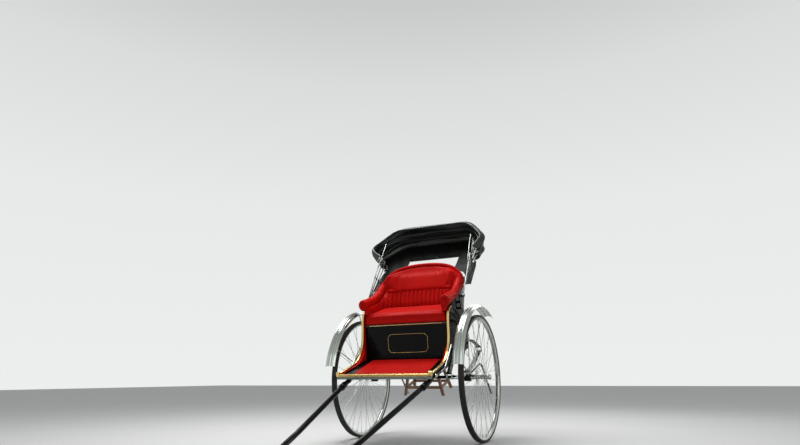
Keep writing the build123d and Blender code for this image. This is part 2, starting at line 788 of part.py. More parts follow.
def fender_lines():
    """The (x, radius) lines of the outside and the inside of a fender."""
    half = [(-x, FENDER_R - drop) for x, drop in FENDER_PROFILE]
    outer = half + [(-x, r) for x, r in reversed(half[:-1])]
    return outer, parallel(outer, -FENDER_SHEET)


def fender():
    """A domed sheet turned about the axle."""
    outer, inner = fender_lines()
    return faceted(outer + inner[::-1], FENDER_FACETS, FENDER_ARC, 180 - FENDER_START - FENDER_ARC)


def fenders():
    return mirrored(Pos(WHEEL_X, 0, 0) * fender())


def fender_stays():
    """Round stays from each axle collar to the inner edge of its fender."""
    stays = []
    edge_x, reach = fender_lines()[1][0]
    edge_x += WHEEL_X
    lean = math.atan2(edge_x - STAY_X, reach - COLLAR_R)
    inset = SEAT_GAP + STAY_R * math.sin(lean)
    for angle in STAY_ANGLES:
        turn = math.radians(180 - angle)
        ends = [(x, r * math.cos(turn), r * math.sin(turn))
                for x, r in ((STAY_X, COLLAR_R + inset), (edge_x, reach - inset))]
        stays += mirrored(straight_rod(ends[0], ends[1], RegularPolygon(STAY_R, ROD_FACETS)))
    return stays


# Boarding stool


def stool():
    """The wooden boarding stool that hangs under the body behind the axle."""
    width, depth, thick = STOOL_TOP
    body = Box(width, depth, thick, align=(Align.CENTER, Align.CENTER, Align.MAX))
    foot_z = STOOL_FOOT_Z - STOOL_TOP_Z
    bar_z = STRETCHER_Z - STOOL_TOP_Z
    share = (bar_z + thick) / (foot_z + thick)
    leg_x, leg_y = [top + (foot - top) * share for top, foot in zip(LEG_TOP_AT, LEG_FOOT_AT)]
    for side in (-1, 1):
        for end in (-1, 1):
            top = Pos(side * LEG_TOP_AT[0], end * LEG_TOP_AT[1], -thick) * Rectangle(LEG_TOP, LEG_TOP)
            foot = Pos(side * LEG_FOOT_AT[0], end * LEG_FOOT_AT[1], foot_z) * Rectangle(LEG_FOOT, LEG_FOOT)
            body += loft([top, foot], ruled=True)
        body += Pos(side * leg_x, 0, bar_z) * Box(STRETCHER[0], 2 * leg_y, STRETCHER[1])
        body += Pos(0, side * leg_y, bar_z) * Box(2 * leg_x, STRETCHER[0], STRETCHER[1])
    return Pos(0, STOOL_Y, STOOL_TOP_Z) * body.solid()


def stool_hangers():
    """Flat straps from the rear cross member down to the stool's top."""
    top = FLOOR_UNDER - 2 * SEAT_GAP - CROSS_DEPTH
    low = STOOL_TOP_Z + SEAT_GAP
    strap = Box(HANGER[0], HANGER[1], top - low)
    return [Pos(x, CROSS_PLACES[-1], (top + low) / 2) * strap for x in (-HANGER_X, HANGER_X)]


# Hood


def hood_posts():
    """Iron posts bossed off the body's sides, each with the headed pin of the hood irons."""
    outer = POST_X + POST_THICK
    step = IRON_X - IRON_THICK / 2 - 0.5
    end = IRON_X + (len(BOWS) - 1) * IRON_STEP + IRON_THICK / 2 + 0.5
    head = end + IRON_THICK
    plate = RegularPolygon(POST_R, ROLL_FACETS) + Pos(0, -POST_DROP / 2) * Rectangle(2 * POST_BOSS_R, POST_DROP)
    plate += Pos(0, -POST_DROP) * RegularPolygon(POST_BOSS_R, ROLL_FACETS)
    post = side_slab(plate, POST_X, outer)
    knob = RegularPolygon(PIN_HEAD_R, ROLL_FACETS)
    post += side_slab(knob, outer, step) + lathe([(outer, 0), (outer, PIN_R), (head, PIN_R), (head, 0)])
    post += side_slab(knob, end, head)
    for drop in (POST_DROP / 2, POST_DROP):
        post += side_slab(Pos(0, -drop) * RegularPolygon(POST_BOSS_R, ROD_FACETS), BODY_HALF + SEAT_GAP, POST_X)
    return mirrored(Pos(0, PIVOT_Y, PIVOT_Z) * post.solid())


def on_bow(shape, angle):
    """Turn a shape drawn with its reach along +Y to the bow's angle, and move it to the pins."""
    return Pos(0, PIVOT_Y, PIVOT_Z) * (Rot(angle, 0, 0) * shape)


def bow_ring(points, angle):
    """The (x, reach) points of an outline at a bow's angle, in the pins' frame."""
    turn = math.radians(angle)
    return [(x, reach * math.cos(turn), reach * math.sin(turn)) for x, reach in points]


def hoop_outline(pull):
    """The (x, reach) outline of a bow's cloth line, from the left foot over the flat top."""
    half = [(BODY_HALF + out - pull, reach) for out, reach in HOOP]
    return half + [(-x, reach) for x, reach in reversed(half)]


def hoop(layer, pull):
    """One wooden bow, a slightly wedge-shaped hoop that points at the pins."""
    foot_x = IRON_X + layer * IRON_STEP + HOOP_DEPTH / 2
    feet = [(foot_x, HOOP_FOOT), (foot_x, HOOP_SIDE)]
    outer = feet + hoop_outline(pull) + [(-x, reach) for x, reach in reversed(feet)]
    face = outer + parallel(outer, HOOP_DEPTH)[::-1]
    return skin([bow_ring(face, -BOW_HALF_ANGLE), bow_ring(face, BOW_HALF_ANGLE)])


def irons(layer):
    """Flat chrome irons with an eye on the pin and a knuckle, one for each side of a bow."""
    middle = IRON_X + layer * IRON_STEP
    blade = Pos(HOOP_FOOT / 2, 0) * Rectangle(HOOP_FOOT - 2 * SEAT_GAP, IRON_WIDTH)
    face = blade + RegularPolygon(EYE_LUG_R, ROLL_FACETS) + Pos(KNUCKLE_REACH, 0) * RegularPolygon(KNUCKLE_R, ROD_FACETS)
    face -= Circle(PIN_R + RUNNING_FIT)
    return mirrored(side_slab(face, middle - IRON_THICK / 2, middle + IRON_THICK / 2))


def cloth(rear, front):
    """Hood cloth that sags between two bows and rides on the rearward one."""
    start = rear[1] + BOW_HALF_ANGLE + CLOTH_GAP
    stop = front[1] - BOW_HALF_ANGLE - CLOTH_CLEAR
    pulls = [rear[3], (rear[3] + front[3]) / 2, front[3]]
    sections = []
    for angle, sag, pull in zip((start, (start + stop) / 2, stop), (0.0, CLOTH_SAG, 0.0), pulls):
        outer = parallel(hoop_outline(pull), sag - CLOTH_PROUD)
        sections.append(bow_ring(outer + parallel(outer, CLOTH_THICK)[::-1], angle))
    return Pos(0, PIVOT_Y, PIVOT_Z) * skin(sections)


def curtain(angle, pull):
    """The rear curtain behind the rear bow, with a hole for its window and strips down its sides."""
    back = -KNUCKLE_R - SEAT_GAP
    strip = [(BODY_HALF + out, reach) for out, reach in (CURTAIN_FOOT, CURTAIN_SIDE)]
    outer = strip + parallel(hoop_outline(pull), HOOP_DEPTH / 2) + [(-x, reach) for x, reach in reversed(strip)]
    window = [(BODY_HALF + out, reach) for out, reach in WINDOW]
    hole = [(-x, reach) for x, reach in window] + window[::-1]
    sheet = extrude(polygon(outer + hole), amount=CURTAIN_THICK)
    return on_bow(Pos(0, 0, back - CURTAIN_THICK) * sheet, angle)


def hood():
    nodes = {}
    for number, (name, angle, layer, pull) in enumerate(BOWS):
        nodes["hood_bow_" + name] = on_bow(hoop(layer, pull), angle)
        nodes["hood_irons_" + name] = [on_bow(iron, angle) for iron in irons(layer)]
        if number + 1 < len(BOWS):
            nodes["hood_cloth_" + name] = cloth(BOWS[number], BOWS[number + 1])
    nodes["hood_curtain"] = curtain(BOWS[0][1], BOWS[0][3])
    return nodes


def carriage():
    return {
        "axle": axle(),
        "lower_springs": lower_springs(),
        "upper_springs": upper_springs(),
        "spring_shackles": shackles(),
        "spring_clamps": spring_clamps(),
        "spring_brackets": spring_brackets(),
        "side_panels": side_panels(),
        "side_linings": side_linings(),
        "gold_edges": gold_edges(),
        "floor": floor(),
        "floor_mat": floor_mat(),
        "front_bar": front_bar(),
        "toe_plate": toe_plate(),
        "back_panel": back_panel(),
        "seat_back": seat_back(),
        "seat_board": seat_board(),
        "gold_seat_trim": gold_seat_trim(),
        "seat_cushion": cushion(),
        "kick_panel": kick_panel(),
        "arm_rolls": arm_rolls(),
        "sills": sills(),
        "cross_members": cross_members(),
        "shaft_left": shaft(1),
        "shaft_right": shaft(-1),
        "shaft_sockets": shaft_sockets(),
        "crossbar": crossbar(),
        "fenders": fenders(),
        "fender_stays": fender_stays(),
        "tip_props": tip_props(),
        "side_rails": side_rails(),
        "boarding_stool": stool(),
        "stool_hangers": stool_hangers(),
        "hood_posts": hood_posts(),
    }


def parked(shape):
    """Tip a level shape forward onto its shafts and stand it on the ground."""
    return Pos(0, 0, WHEEL_R) * (Rot(PARK_TILT, 0, 0) * shape)


def joined(shape):
    pieces = shape if isinstance(shape, list) else [shape]
    solids = [solid for piece in pieces for solid in piece.solids()]
    return Compound(solids) if len(solids) > 1 else solids[0]


def main():
    nodes = {}
    nodes.update(wheel(1))
    nodes.update(wheel(-1))
    nodes.update(carriage())
    nodes.update(hood())
    shapes = {name: parked(joined(shape)) for name, shape in nodes.items()}
    boxes = [shape.bounding_box() for shape in shapes.values()]
    middle = (min(box.min.Y for box in boxes) + max(box.max.Y for box in boxes)) / 2
    os.makedirs("parts", exist_ok=True)
    for name, shape in shapes.items():
        export_step(Pos(0, -middle, 0) * shape, "parts/" + name + ".step")
    tilt = math.radians(PARK_TILT)
    pivot_y = PIVOT_Y * math.cos(tilt) - PIVOT_Z * math.sin(tilt) - middle
    pivot_z = PIVOT_Y * math.sin(tilt) + PIVOT_Z * math.cos(tilt) + WHEEL_R
    print("axle at y", round(-middle, 3), "hood pins at", round(pivot_y, 3), round(pivot_z, 3))


main()
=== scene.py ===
import json
import math

import bmesh
import bpy
from mathutils import Matrix, Vector, noise
from mathutils.bvhtree import BVHTree
from mathutils.kdtree import KDTree

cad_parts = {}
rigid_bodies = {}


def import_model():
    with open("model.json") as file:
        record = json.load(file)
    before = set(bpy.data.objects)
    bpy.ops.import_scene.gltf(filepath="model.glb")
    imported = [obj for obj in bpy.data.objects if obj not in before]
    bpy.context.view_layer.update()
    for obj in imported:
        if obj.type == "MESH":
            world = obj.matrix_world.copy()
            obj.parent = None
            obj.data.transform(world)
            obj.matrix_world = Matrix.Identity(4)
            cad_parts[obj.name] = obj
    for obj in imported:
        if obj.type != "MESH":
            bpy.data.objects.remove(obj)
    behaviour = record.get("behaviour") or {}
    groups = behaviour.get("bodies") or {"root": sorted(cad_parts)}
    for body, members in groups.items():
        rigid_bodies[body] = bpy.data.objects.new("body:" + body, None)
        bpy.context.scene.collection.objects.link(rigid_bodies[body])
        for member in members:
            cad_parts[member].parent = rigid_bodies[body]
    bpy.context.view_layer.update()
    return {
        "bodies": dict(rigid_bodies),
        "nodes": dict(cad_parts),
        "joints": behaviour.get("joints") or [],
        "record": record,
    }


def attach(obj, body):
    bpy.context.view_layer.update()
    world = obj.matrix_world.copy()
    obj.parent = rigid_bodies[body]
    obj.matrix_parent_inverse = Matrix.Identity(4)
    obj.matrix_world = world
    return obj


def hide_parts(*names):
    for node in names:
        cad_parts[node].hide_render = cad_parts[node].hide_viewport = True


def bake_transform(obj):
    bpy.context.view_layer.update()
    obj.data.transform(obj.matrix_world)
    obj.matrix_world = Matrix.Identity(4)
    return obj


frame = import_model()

bl_info = {
    "name": "Pulled Rickshaw Dressing",
    "version": (1, 0, 0),
    "blender": (4, 5, 0),
    "location": "View3D > Sidebar > Rickshaw",
    "description": "Upholstery, hood, fittings and finishes for a parked two-seat pulled rickshaw",
    "category": "Object",
}

NODES = frame["nodes"]
JOINTS = {joint["name"]: joint for joint in frame["joints"]}
AXLE = Vector((0.0,) + tuple(JOINTS["wheel_left_spin"]["pos_m"][1:]))
HOOD_PIN = Vector(JOINTS["hood_fold"]["pos_m"])
PARK_TILT = math.radians(17.0)
PARKED = Matrix.Translation(AXLE) @ Matrix.Rotation(PARK_TILT, 4, "X")


# Materials


def new_group(name, inputs, outputs):
    """A shader node group with named value, colour or vector sockets."""
    kinds = {"value": "NodeSocketFloat", "color": "NodeSocketColor", "vector": "NodeSocketVector"}
    tree = bpy.data.node_groups.new(name, "ShaderNodeTree")
    for label, kind, default in inputs:
        socket = tree.interface.new_socket(name=label, in_out="INPUT", socket_type=kinds[kind])
        socket.default_value = default
    for label, kind in outputs:
        tree.interface.new_socket(name=label, in_out="OUTPUT", socket_type=kinds[kind])
    return tree, tree.nodes.new("NodeGroupInput"), tree.nodes.new("NodeGroupOutput")


def new_node(tree, kind, values=(), **settings):
    """A node with its settings, and the values of its inputs by name or number."""
    node = tree.nodes.new(kind)
    for key, value in settings.items():
        setattr(node, key, value)
    for key, value in dict(values).items():
        node.inputs[key].default_value = value
    return node


def wire(tree, *links):
    """Join sockets, each link given as node, output, node, input."""
    for start, output, end, entry in links:
        tree.links.new(start.outputs[output], end.inputs[entry])


def object_noise(tree, scale_from, detail=4.0, roughness=0.55):
    place = new_node(tree, "ShaderNodeTexCoord")
    noise = new_node(tree, "ShaderNodeTexNoise", {"Detail": detail, "Roughness": roughness})
    tree.links.new(place.outputs["Object"], noise.inputs["Vector"])
    tree.links.new(scale_from, noise.inputs["Scale"])
    return noise


def patchy_tone_group():
    """A colour that drifts darker and lighter in soft patches, as handled surfaces do."""
    inputs = [("Color", "color", (0.5, 0.5, 0.5, 1.0)), ("Depth", "value", 0.3), ("Scale", "value", 6.0)]
    tree, start, end = new_group("Patchy Tone", inputs, [("Color", "color")])
    noise = object_noise(tree, start.outputs["Scale"])
    spread = new_node(tree, "ShaderNodeMapRange", {"From Min": 0.3, "From Max": 0.7})
    amount = new_node(tree, "ShaderNodeMath", operation="MULTIPLY")
    shade = new_node(tree, "ShaderNodeMix", data_type="RGBA", blend_type="MULTIPLY")
    shade.inputs["B"].default_value = (0.25, 0.24, 0.23, 1.0)
    wire(tree, (noise, "Fac", spread, "Value"), (spread, "Result", amount, 0), (start, "Depth", amount, 1),
         (amount, 0, shade, "Factor"), (start, "Color", shade, "A"), (shade, "Result", end, "Color"))
    return tree


def smudged_gloss_group():
    """A roughness that runs between two values in fine smudges."""
    inputs = [("Low", "value", 0.1), ("High", "value", 0.3), ("Scale", "value", 20.0)]
    tree, start, end = new_group("Smudged Gloss", inputs, [("Roughness", "value")])
    noise = object_noise(tree, start.outputs["Scale"], 6.0, 0.65)
    spread = new_node(tree, "ShaderNodeMapRange", {"From Min": 0.35, "From Max": 0.68})
    wire(tree, (noise, "Fac", spread, "Value"), (start, "Low", spread, "To Min"),
         (start, "High", spread, "To Max"), (spread, "Result", end, "Roughness"))
    return tree


def settled_dust_group():
    """Road dust on what faces up, broken up by noise."""
    inputs = [("Color", "color", (0.1, 0.1, 0.1, 1.0)), ("Dust", "color", (0.32, 0.27, 0.2, 1.0)),
              ("Amount", "value", 0.3), ("Scale", "value", 14.0)]
    tree, start, end = new_group("Settled Dust", inputs, [("Color", "color"), ("Mask", "value")])
    noise = object_noise(tree, start.outputs["Scale"], 5.0, 0.7)
    facing = new_node(tree, "ShaderNodeNewGeometry")
    split = new_node(tree, "ShaderNodeSeparateXYZ")
    upward = new_node(tree, "ShaderNodeMapRange", {"From Min": -0.3, "From Max": 0.9})
    patches = new_node(tree, "ShaderNodeMapRange", {"From Min": 0.35, "From Max": 0.75})
    both = new_node(tree, "ShaderNodeMath", operation="MULTIPLY")
    amount = new_node(tree, "ShaderNodeMath", operation="MULTIPLY", use_clamp=True)
    mix = new_node(tree, "ShaderNodeMix", data_type="RGBA")
    wire(tree, (facing, "Normal", split, 0), (split, "Z", upward, "Value"),
         (noise, "Fac", patches, "Value"), (upward, "Result", both, 0), (patches, "Result", both, 1),
         (both, 0, amount, 0), (start, "Amount", amount, 1), (amount, 0, mix, "Factor"),
         (start, "Color", mix, "A"), (start, "Dust", mix, "B"), (mix, "Result", end, "Color"),
         (amount, 0, end, "Mask"))
    return tree


def woven_height_group():
    """The height of a plain weave, threads over and under in two directions."""
    tree, start, end = new_group("Woven Height", [("Threads", "value", 400.0)], [("Height", "value")])
    place = new_node(tree, "ShaderNodeTexCoord")
    waves = []
    for direction in ("X", "Z"):
        wave = new_node(tree, "ShaderNodeTexWave", {"Distortion": 0.6, "Detail": 1.0},
                        bands_direction=direction)
        wire(tree, (place, "Object", wave, "Vector"), (start, "Threads", wave, "Scale"))
        waves.append(wave)
    higher = new_node(tree, "ShaderNodeMath", operation="MAXIMUM")
    for number, wave in enumerate(waves):
        tree.links.new(wave.outputs["Fac"], higher.inputs[number])
    tree.links.new(higher.outputs[0], end.inputs["Height"])
    return tree


def grained_height_group():
    """Fine leathery grain over a slow waviness."""
    inputs = [("Grain", "value", 260.0), ("Waves", "value", 9.0), ("Wave Share", "value", 0.5)]
    tree, start, end = new_group("Grained Height", inputs, [("Height", "value")])
    place = new_node(tree, "ShaderNodeTexCoord")
    cells = new_node(tree, "ShaderNodeTexVoronoi", feature="SMOOTH_F1")
    slow = object_noise(tree, start.outputs["Waves"], 2.0)
    mix = new_node(tree, "ShaderNodeMix", data_type="FLOAT")
    wire(tree, (place, "Object", cells, "Vector"), (start, "Grain", cells, "Scale"),
         (start, "Wave Share", mix, "Factor"), (cells, "Distance", mix, "A"), (slow, "Fac", mix, "B"),
         (mix, "Result", end, "Height"))
    return tree


def wood_grain_group():
    """Straight wood grain along X, as light and dark streaks."""
    inputs = [("Light", "color", (0.3, 0.15, 0.07, 1.0)), ("Dark", "color", (0.12, 0.05, 0.02, 1.0)),
              ("Scale", "value", 60.0)]
    tree, start, end = new_group("Wood Grain", inputs, [("Color", "color"), ("Height", "value")])
    place = new_node(tree, "ShaderNodeTexCoord")
    stretch = new_node(tree, "ShaderNodeMapping", {"Scale": (0.08, 1.0, 1.0)})
    noise = new_node(tree, "ShaderNodeTexNoise", {"Detail": 8.0, "Roughness": 0.6, "Distortion": 0.4})
    mix = new_node(tree, "ShaderNodeMix", data_type="RGBA")
    wire(tree, (place, "Object", stretch, "Vector"), (stretch, "Vector", noise, "Vector"),
         (start, "Scale", noise, "Scale"), (noise, "Fac", mix, "Factor"), (start, "Light", mix, "A"),
         (start, "Dark", mix, "B"), (mix, "Result", end, "Color"), (noise, "Fac", end, "Height"))
    return tree


def new_finish(name, **sockets):
    """A material whose Principled shader has these constant values."""
    finish = bpy.data.materials.new("dressed_" + name)
    finish.use_nodes = True
    shader = finish.node_tree.nodes["Principled BSDF"]
    for label, value in sockets.items():
        shader.inputs[label.replace("_", " ")].default_value = value
    return finish, finish.node_tree, shader


def place_group(tree, group, **values):
    node = new_node(tree, "ShaderNodeGroup", node_tree=bpy.data.node_groups[group])
    for label, value in values.items():
        node.inputs[label.replace("_", " ")].default_value = value
    return node


def rgba(color):
    return (color[0], color[1], color[2], 1.0)


def add_bump(tree, shader, height, strength, distance):
    bump = new_node(tree, "ShaderNodeBump", {"Strength": strength, "Distance": distance})
    tree.links.new(height, bump.inputs["Height"])
    tree.links.new(bump.outputs["Normal"], shader.inputs["Normal"])


def metal_finish(name, color, low, high, dust, ripple=0.12, **sockets):
    """Plated or polished metal with smudges and a little road dust."""
    finish, tree, shader = new_finish(name, Metallic=1.0, **sockets)
    tone = place_group(tree, "Patchy Tone", Color=rgba(color), Depth=0.16, Scale=18.0)
    dusty = place_group(tree, "Settled Dust", Amount=dust, Scale=22.0)
    gloss = place_group(tree, "Smudged Gloss", Low=low, High=high, Scale=35.0)
    grain = place_group(tree, "Grained Height", Grain=90.0, Waves=26.0, Wave_Share=0.8)
    wire(tree, (tone, "Color", dusty, "Color"), (dusty, "Color", shader, "Base Color"),
         (gloss, "Roughness", shader, "Roughness"))
    add_bump(tree, shader, grain.outputs["Height"], ripple, 0.002)
    return finish


def lacquer_finish(name, color, low, high, dust, coat=0.05):
    """Deep gloss lacquer or enamel with faint unevenness and dust."""
    finish, tree, shader = new_finish(name, Coat_Weight=coat, Coat_Roughness=0.04, Specular_IOR_Level=0.06)
    tone = place_group(tree, "Patchy Tone", Color=rgba(color), Depth=0.5, Scale=5.0)
    dusty = place_group(tree, "Settled Dust", Amount=dust, Scale=30.0)
    gloss = place_group(tree, "Smudged Gloss", Low=low, High=high, Scale=12.0)
    grain = place_group(tree, "Grained Height", Grain=150.0, Waves=14.0, Wave_Share=0.85)
    wire(tree, (tone, "Color", dusty, "Color"), (dusty, "Color", shader, "Base Color"),
         (gloss, "Roughness", shader, "Roughness"))
    add_bump(tree, shader, grain.outputs["Height"], 0.08, 0.002)
    return finish


def red_cloth_finish(name, color, threads):
    """Close red seat cloth with a satin bloom and slightly darker hollows."""
    finish, tree, shader = new_finish(name, Sheen_Weight=0.05, Sheen_Roughness=0.3, Specular_IOR_Level=0.05)
    shader.inputs["Sheen Tint"].default_value = (1.0, 0.12, 0.06, 1.0)
    tone = place_group(tree, "Patchy Tone", Color=rgba(color), Depth=0.22, Scale=7.0)
    gloss = place_group(tree, "Smudged Gloss", Low=0.36, High=0.52, Scale=9.0)
    weave = place_group(tree, "Woven Height", Threads=threads)
    wire(tree, (tone, "Color", shader, "Base Color"), (gloss, "Roughness", shader, "Roughness"))
    add_bump(tree, shader, weave.outputs["Height"], 0.35, 0.0006)
    return finish


def hood_cloth_finish(name, color, shine):
    """Waxed black hood cloth with a dull green-grey shine along its folds."""
    finish, tree, shader = new_finish(
        name, Coat_Weight=0.25 * shine, Coat_Roughness=0.30, Specular_IOR_Level=shine)
    shader.inputs["Specular Tint"].default_value = (0.88, 1.0, 0.92, 1.0)
    tone = place_group(tree, "Patchy Tone", Color=rgba(color), Depth=0.45, Scale=10.0)
    dusty = place_group(tree, "Settled Dust", Amount=0.03, Scale=18.0)
    gloss = place_group(tree, "Smudged Gloss", Low=0.50 - 0.40 * shine, High=0.65 - 0.45 * shine, Scale=14.0)
    grain = place_group(tree, "Grained Height", Grain=420.0, Waves=22.0, Wave_Share=0.55)
    wire(tree, (tone, "Color", dusty, "Color"), (dusty, "Color", shader, "Base Color"),
         (gloss, "Roughness", shader, "Roughness"))
    add_bump(tree, shader, grain.outputs["Height"], 0.16, 0.002)
    return finish


def rubber_finish(name, color):
    finish, tree, shader = new_finish(name, Specular_IOR_Level=0.35)
    tone = place_group(tree, "Patchy Tone", Color=rgba(color), Depth=0.35, Scale=16.0)
    dusty = place_group(tree, "Settled Dust", Amount=0.3, Scale=26.0)
    gloss = place_group(tree, "Smudged Gloss", Low=0.5, High=0.75, Scale=24.0)
    grain = place_group(tree, "Grained Height", Grain=320.0, Waves=40.0, Wave_Share=0.3)
    wire(tree, (tone, "Color", dusty, "Color"), (dusty, "Color", shader, "Base Color"),
         (gloss, "Roughness", shader, "Roughness"))
    add_bump(tree, shader, grain.outputs["Height"], 0.25, 0.001)
    return finish


def wood_finish(name, light, dark, low, high, coat):
    finish, tree, shader = new_finish(name, Coat_Weight=coat, Coat_Roughness=0.12)
    grain = place_group(tree, "Wood Grain", Light=rgba(light), Dark=rgba(dark))
    dusty = place_group(tree, "Settled Dust", Amount=0.18, Scale=24.0)
    gloss = place_group(tree, "Smudged Gloss", Low=low, High=high, Scale=15.0)
    wire(tree, (grain, "Color", dusty, "Color"), (dusty, "Color", shader, "Base Color"),
         (gloss, "Roughness", shader, "Roughness"))
    add_bump(tree, shader, grain.outputs["Height"], 0.3, 0.001)
    return finish


def floor_finish(name, color):
    """A pale studio floor that looks white to the camera and still takes the shadow."""
    finish, tree, shader = new_finish(name, Roughness=0.9, Specular_IOR_Level=0.1)
    tone = place_group(tree, "Patchy Tone", Color=rgba(color), Depth=0.02, Scale=1.5)
    tree.links.new(tone.outputs["Color"], shader.inputs["Base Color"])
    return finish


FINISH_OF = [
    # start of the node's name, finish
    ("tyre_", "rubber"),
    ("rim_", "chrome"),
    ("spokes_", "chrome"),
    ("hub_", "chrome"),
    ("axle", "black_iron"),
    ("lower_springs", "chrome"),
    ("upper_springs", "black_iron"),
    ("spring_shackles", "chrome"),
    ("spring_", "black_iron"),
    ("side_linings", "red_cloth"),
    ("side_panels", "black_lacquer"),
    ("side_rails", "chrome"),
    ("floor_mat", "red_cloth"),
    ("floor", "black_lacquer"),
    ("front_bar", "gold_trim"),
    ("gold_", "gold_trim"),
    ("toe_plate", "bright_steel"),
    ("back_panel", "black_lacquer"),
    ("seat_back", "red_cloth"),
    ("seat_cushion", "red_cloth"),
    ("seat_board", "black_wood"),
    ("arm_", "red_cloth"),
    ("kick_panel", "black_lacquer"),
    ("sills", "black_wood"),
    ("cross_members", "black_wood"),
    ("shaft_sockets", "black_iron"),
    ("shaft_", "black_lacquer"),
    ("crossbar", "black_lacquer"),
    ("fender", "chrome"),
    ("tip_props", "black_iron"),
    ("boarding_stool", "brown_wood"),
    ("stool_hangers", "black_iron"),
    ("hood_posts", "black_iron"),
    ("hood_bow", "black_wood"),
    ("hood_irons", "chrome"),
    ("hood_", "hood_cloth"),
]


class RickshawSettings(bpy.types.PropertyGroup):
    """Sizes and colours of the rickshaw's dressing."""
    red: bpy.props.FloatVectorProperty(
        name="Seat cloth", description="Colour of the seat cloth", subtype="COLOR", size=3,
        default=(0.55, 0.007, 0.005), min=0.0, max=1.0)
    black: bpy.props.FloatVectorProperty(
        name="Lacquer", description="Colour of the body's lacquer", subtype="COLOR", size=3,
        default=(0.004, 0.004, 0.0045), min=0.0, max=1.0)
    gold: bpy.props.FloatVectorProperty(
        name="Gold", description="Colour of the gilded edges", subtype="COLOR", size=3,
        default=(0.86, 0.62, 0.24), min=0.0, max=1.0)
    chrome: bpy.props.FloatVectorProperty(
        name="Chrome", description="Colour of the plated parts", subtype="COLOR", size=3,
        default=(0.50, 0.53, 0.50), min=0.0, max=1.0)
    hood: bpy.props.FloatVectorProperty(
        name="Hood cloth", description="Colour of the hood cloth", subtype="COLOR", size=3,
        default=(0.0035, 0.0045, 0.004), min=0.0, max=1.0)
    floor: bpy.props.FloatVectorProperty(
        name="Floor", description="Colour of the studio floor", subtype="COLOR", size=3,
        default=(0.76, 0.76, 0.75), min=0.0, max=1.0)
    lens: bpy.props.FloatProperty(
        name="Lens", description="Focal length of the camera", default=24.39, min=10.0, max=200.0)


def settings():
    return bpy.context.scene.rickshaw


class RICKSHAW_OT_finishes(bpy.types.Operator):
    """Make the finishes and put one on every fixed part"""
    bl_idname = "rickshaw.finishes"
    bl_label = "Finishes"

    def execute(self, context):
        chosen = settings()
        patchy_tone_group()
        smudged_gloss_group()
        settled_dust_group()
        woven_height_group()
        grained_height_group()
        wood_grain_group()
        metal_finish("chrome", chosen.chrome, 0.10, 0.24, 0.05, ripple=0.012)
        metal_finish("bright_steel", (0.20, 0.22, 0.19), 0.30, 0.48, 0.10, ripple=0.04)
        # A darkened copy of the chrome for the irons of the rear three bows: painted shade, not a different
        # metal.
        metal_finish("shaded_chrome", (0.060, 0.066, 0.063), 0.16, 0.32, 0.02, ripple=0.02)
        metal_finish("gold_trim", chosen.gold, 0.22, 0.38, 0.03, ripple=0.03)
        lacquer_finish("black_lacquer", chosen.black, 0.07, 0.20, 0.025)
        lacquer_finish("black_iron", (0.006, 0.006, 0.007), 0.20, 0.40, 0.08, coat=0.12)
        red_cloth_finish("red_cloth", chosen.red, 420.0)
        red_cloth_finish("red_piping", [0.8 * part for part in chosen.red], 700.0)
        hood_cloth_finish("hood_cloth", chosen.hood, 0.55)
        hood_cloth_finish("curtain_cloth", chosen.hood, 0.10)
        rubber_finish("rubber", (0.012, 0.012, 0.012))
        wood_finish("black_wood", (0.03, 0.026, 0.024), (0.012, 0.01, 0.009), 0.25, 0.45, 0.3)
        wood_finish("brown_wood", (0.34, 0.16, 0.07), (0.14, 0.055, 0.022), 0.3, 0.55, 0.25)
        for name, node in NODES.items():
            finish = next(finish for start, finish in FINISH_OF if name.startswith(start))
            for slot in node.material_slots:
                slot.material = bpy.data.materials["dressed_" + finish]
        return {"FINISHED"}


# Shaping helpers


def alone(piece):
    """Make one piece the active and only selected object."""
    bpy.ops.object.select_all(action="DESELECT")
    piece.select_set(True)
    bpy.context.view_layer.objects.active = piece


def all_of(piece, *operators):
    """Run edit-mode operators on the whole of a piece."""
    alone(piece)
    bpy.ops.object.mode_set(mode="EDIT")
    bpy.ops.mesh.select_all(action="SELECT")
    for operator, values in operators:
        operator(**values)
    bpy.ops.object.mode_set(mode="OBJECT")


def face_outwards(piece):
    all_of(piece, (bpy.ops.mesh.normals_make_consistent, {"inside": False}))


def placed(name, data):
    """A new object in the scene with this data."""
    piece = bpy.data.objects.new(name, data)
    bpy.context.scene.collection.objects.link(piece)
    return piece


def joined(pieces):
    """Join pieces into the first of them."""
    alone(pieces[0])
    for piece in pieces:
        piece.select_set(True)
    bpy.ops.object.join()
    return pieces[0]


def move_each(piece, move):
    """Move every vertex by what `move` says of it, with all of them read first."""
    places = [vertex.co + move(vertex) for vertex in piece.data.vertices]
    for vertex, place in zip(piece.data.vertices, places):
        vertex.co = place


def modified(piece, kind, **settings):
    """Add a modifier, set it and apply it."""
    alone(piece)
    modifier = piece.modifiers.new(kind.lower(), kind)
    for key, value in settings.items():
        setattr(modifier, key, value)
    bpy.ops.object.modifier_apply(modifier=modifier.name)


def level_copy(name, node):
    """A copy of a fixed part's mesh, merged and turned level about the axle."""
    piece = placed(name, NODES[node].data.copy())
    all_of(piece, (bpy.ops.mesh.remove_doubles, {"threshold": 0.00001}))
    piece.data.transform(PARKED.inverted())
    return piece


def parked_piece(piece, finish, body="carriage", smooth=None):
    """Turn a level piece to the parked stance, with its finish, shading and body."""
    piece.data.transform(PARKED)
    piece.data.materials.clear()
    piece.data.materials.append(bpy.data.materials["dressed_" + finish])
    alone(piece)
    if smooth is None:
        bpy.ops.object.shade_smooth()
    else:
        bpy.ops.object.shade_smooth_by_angle(angle=math.radians(smooth))
    if body:
        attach(piece, body)
    return piece


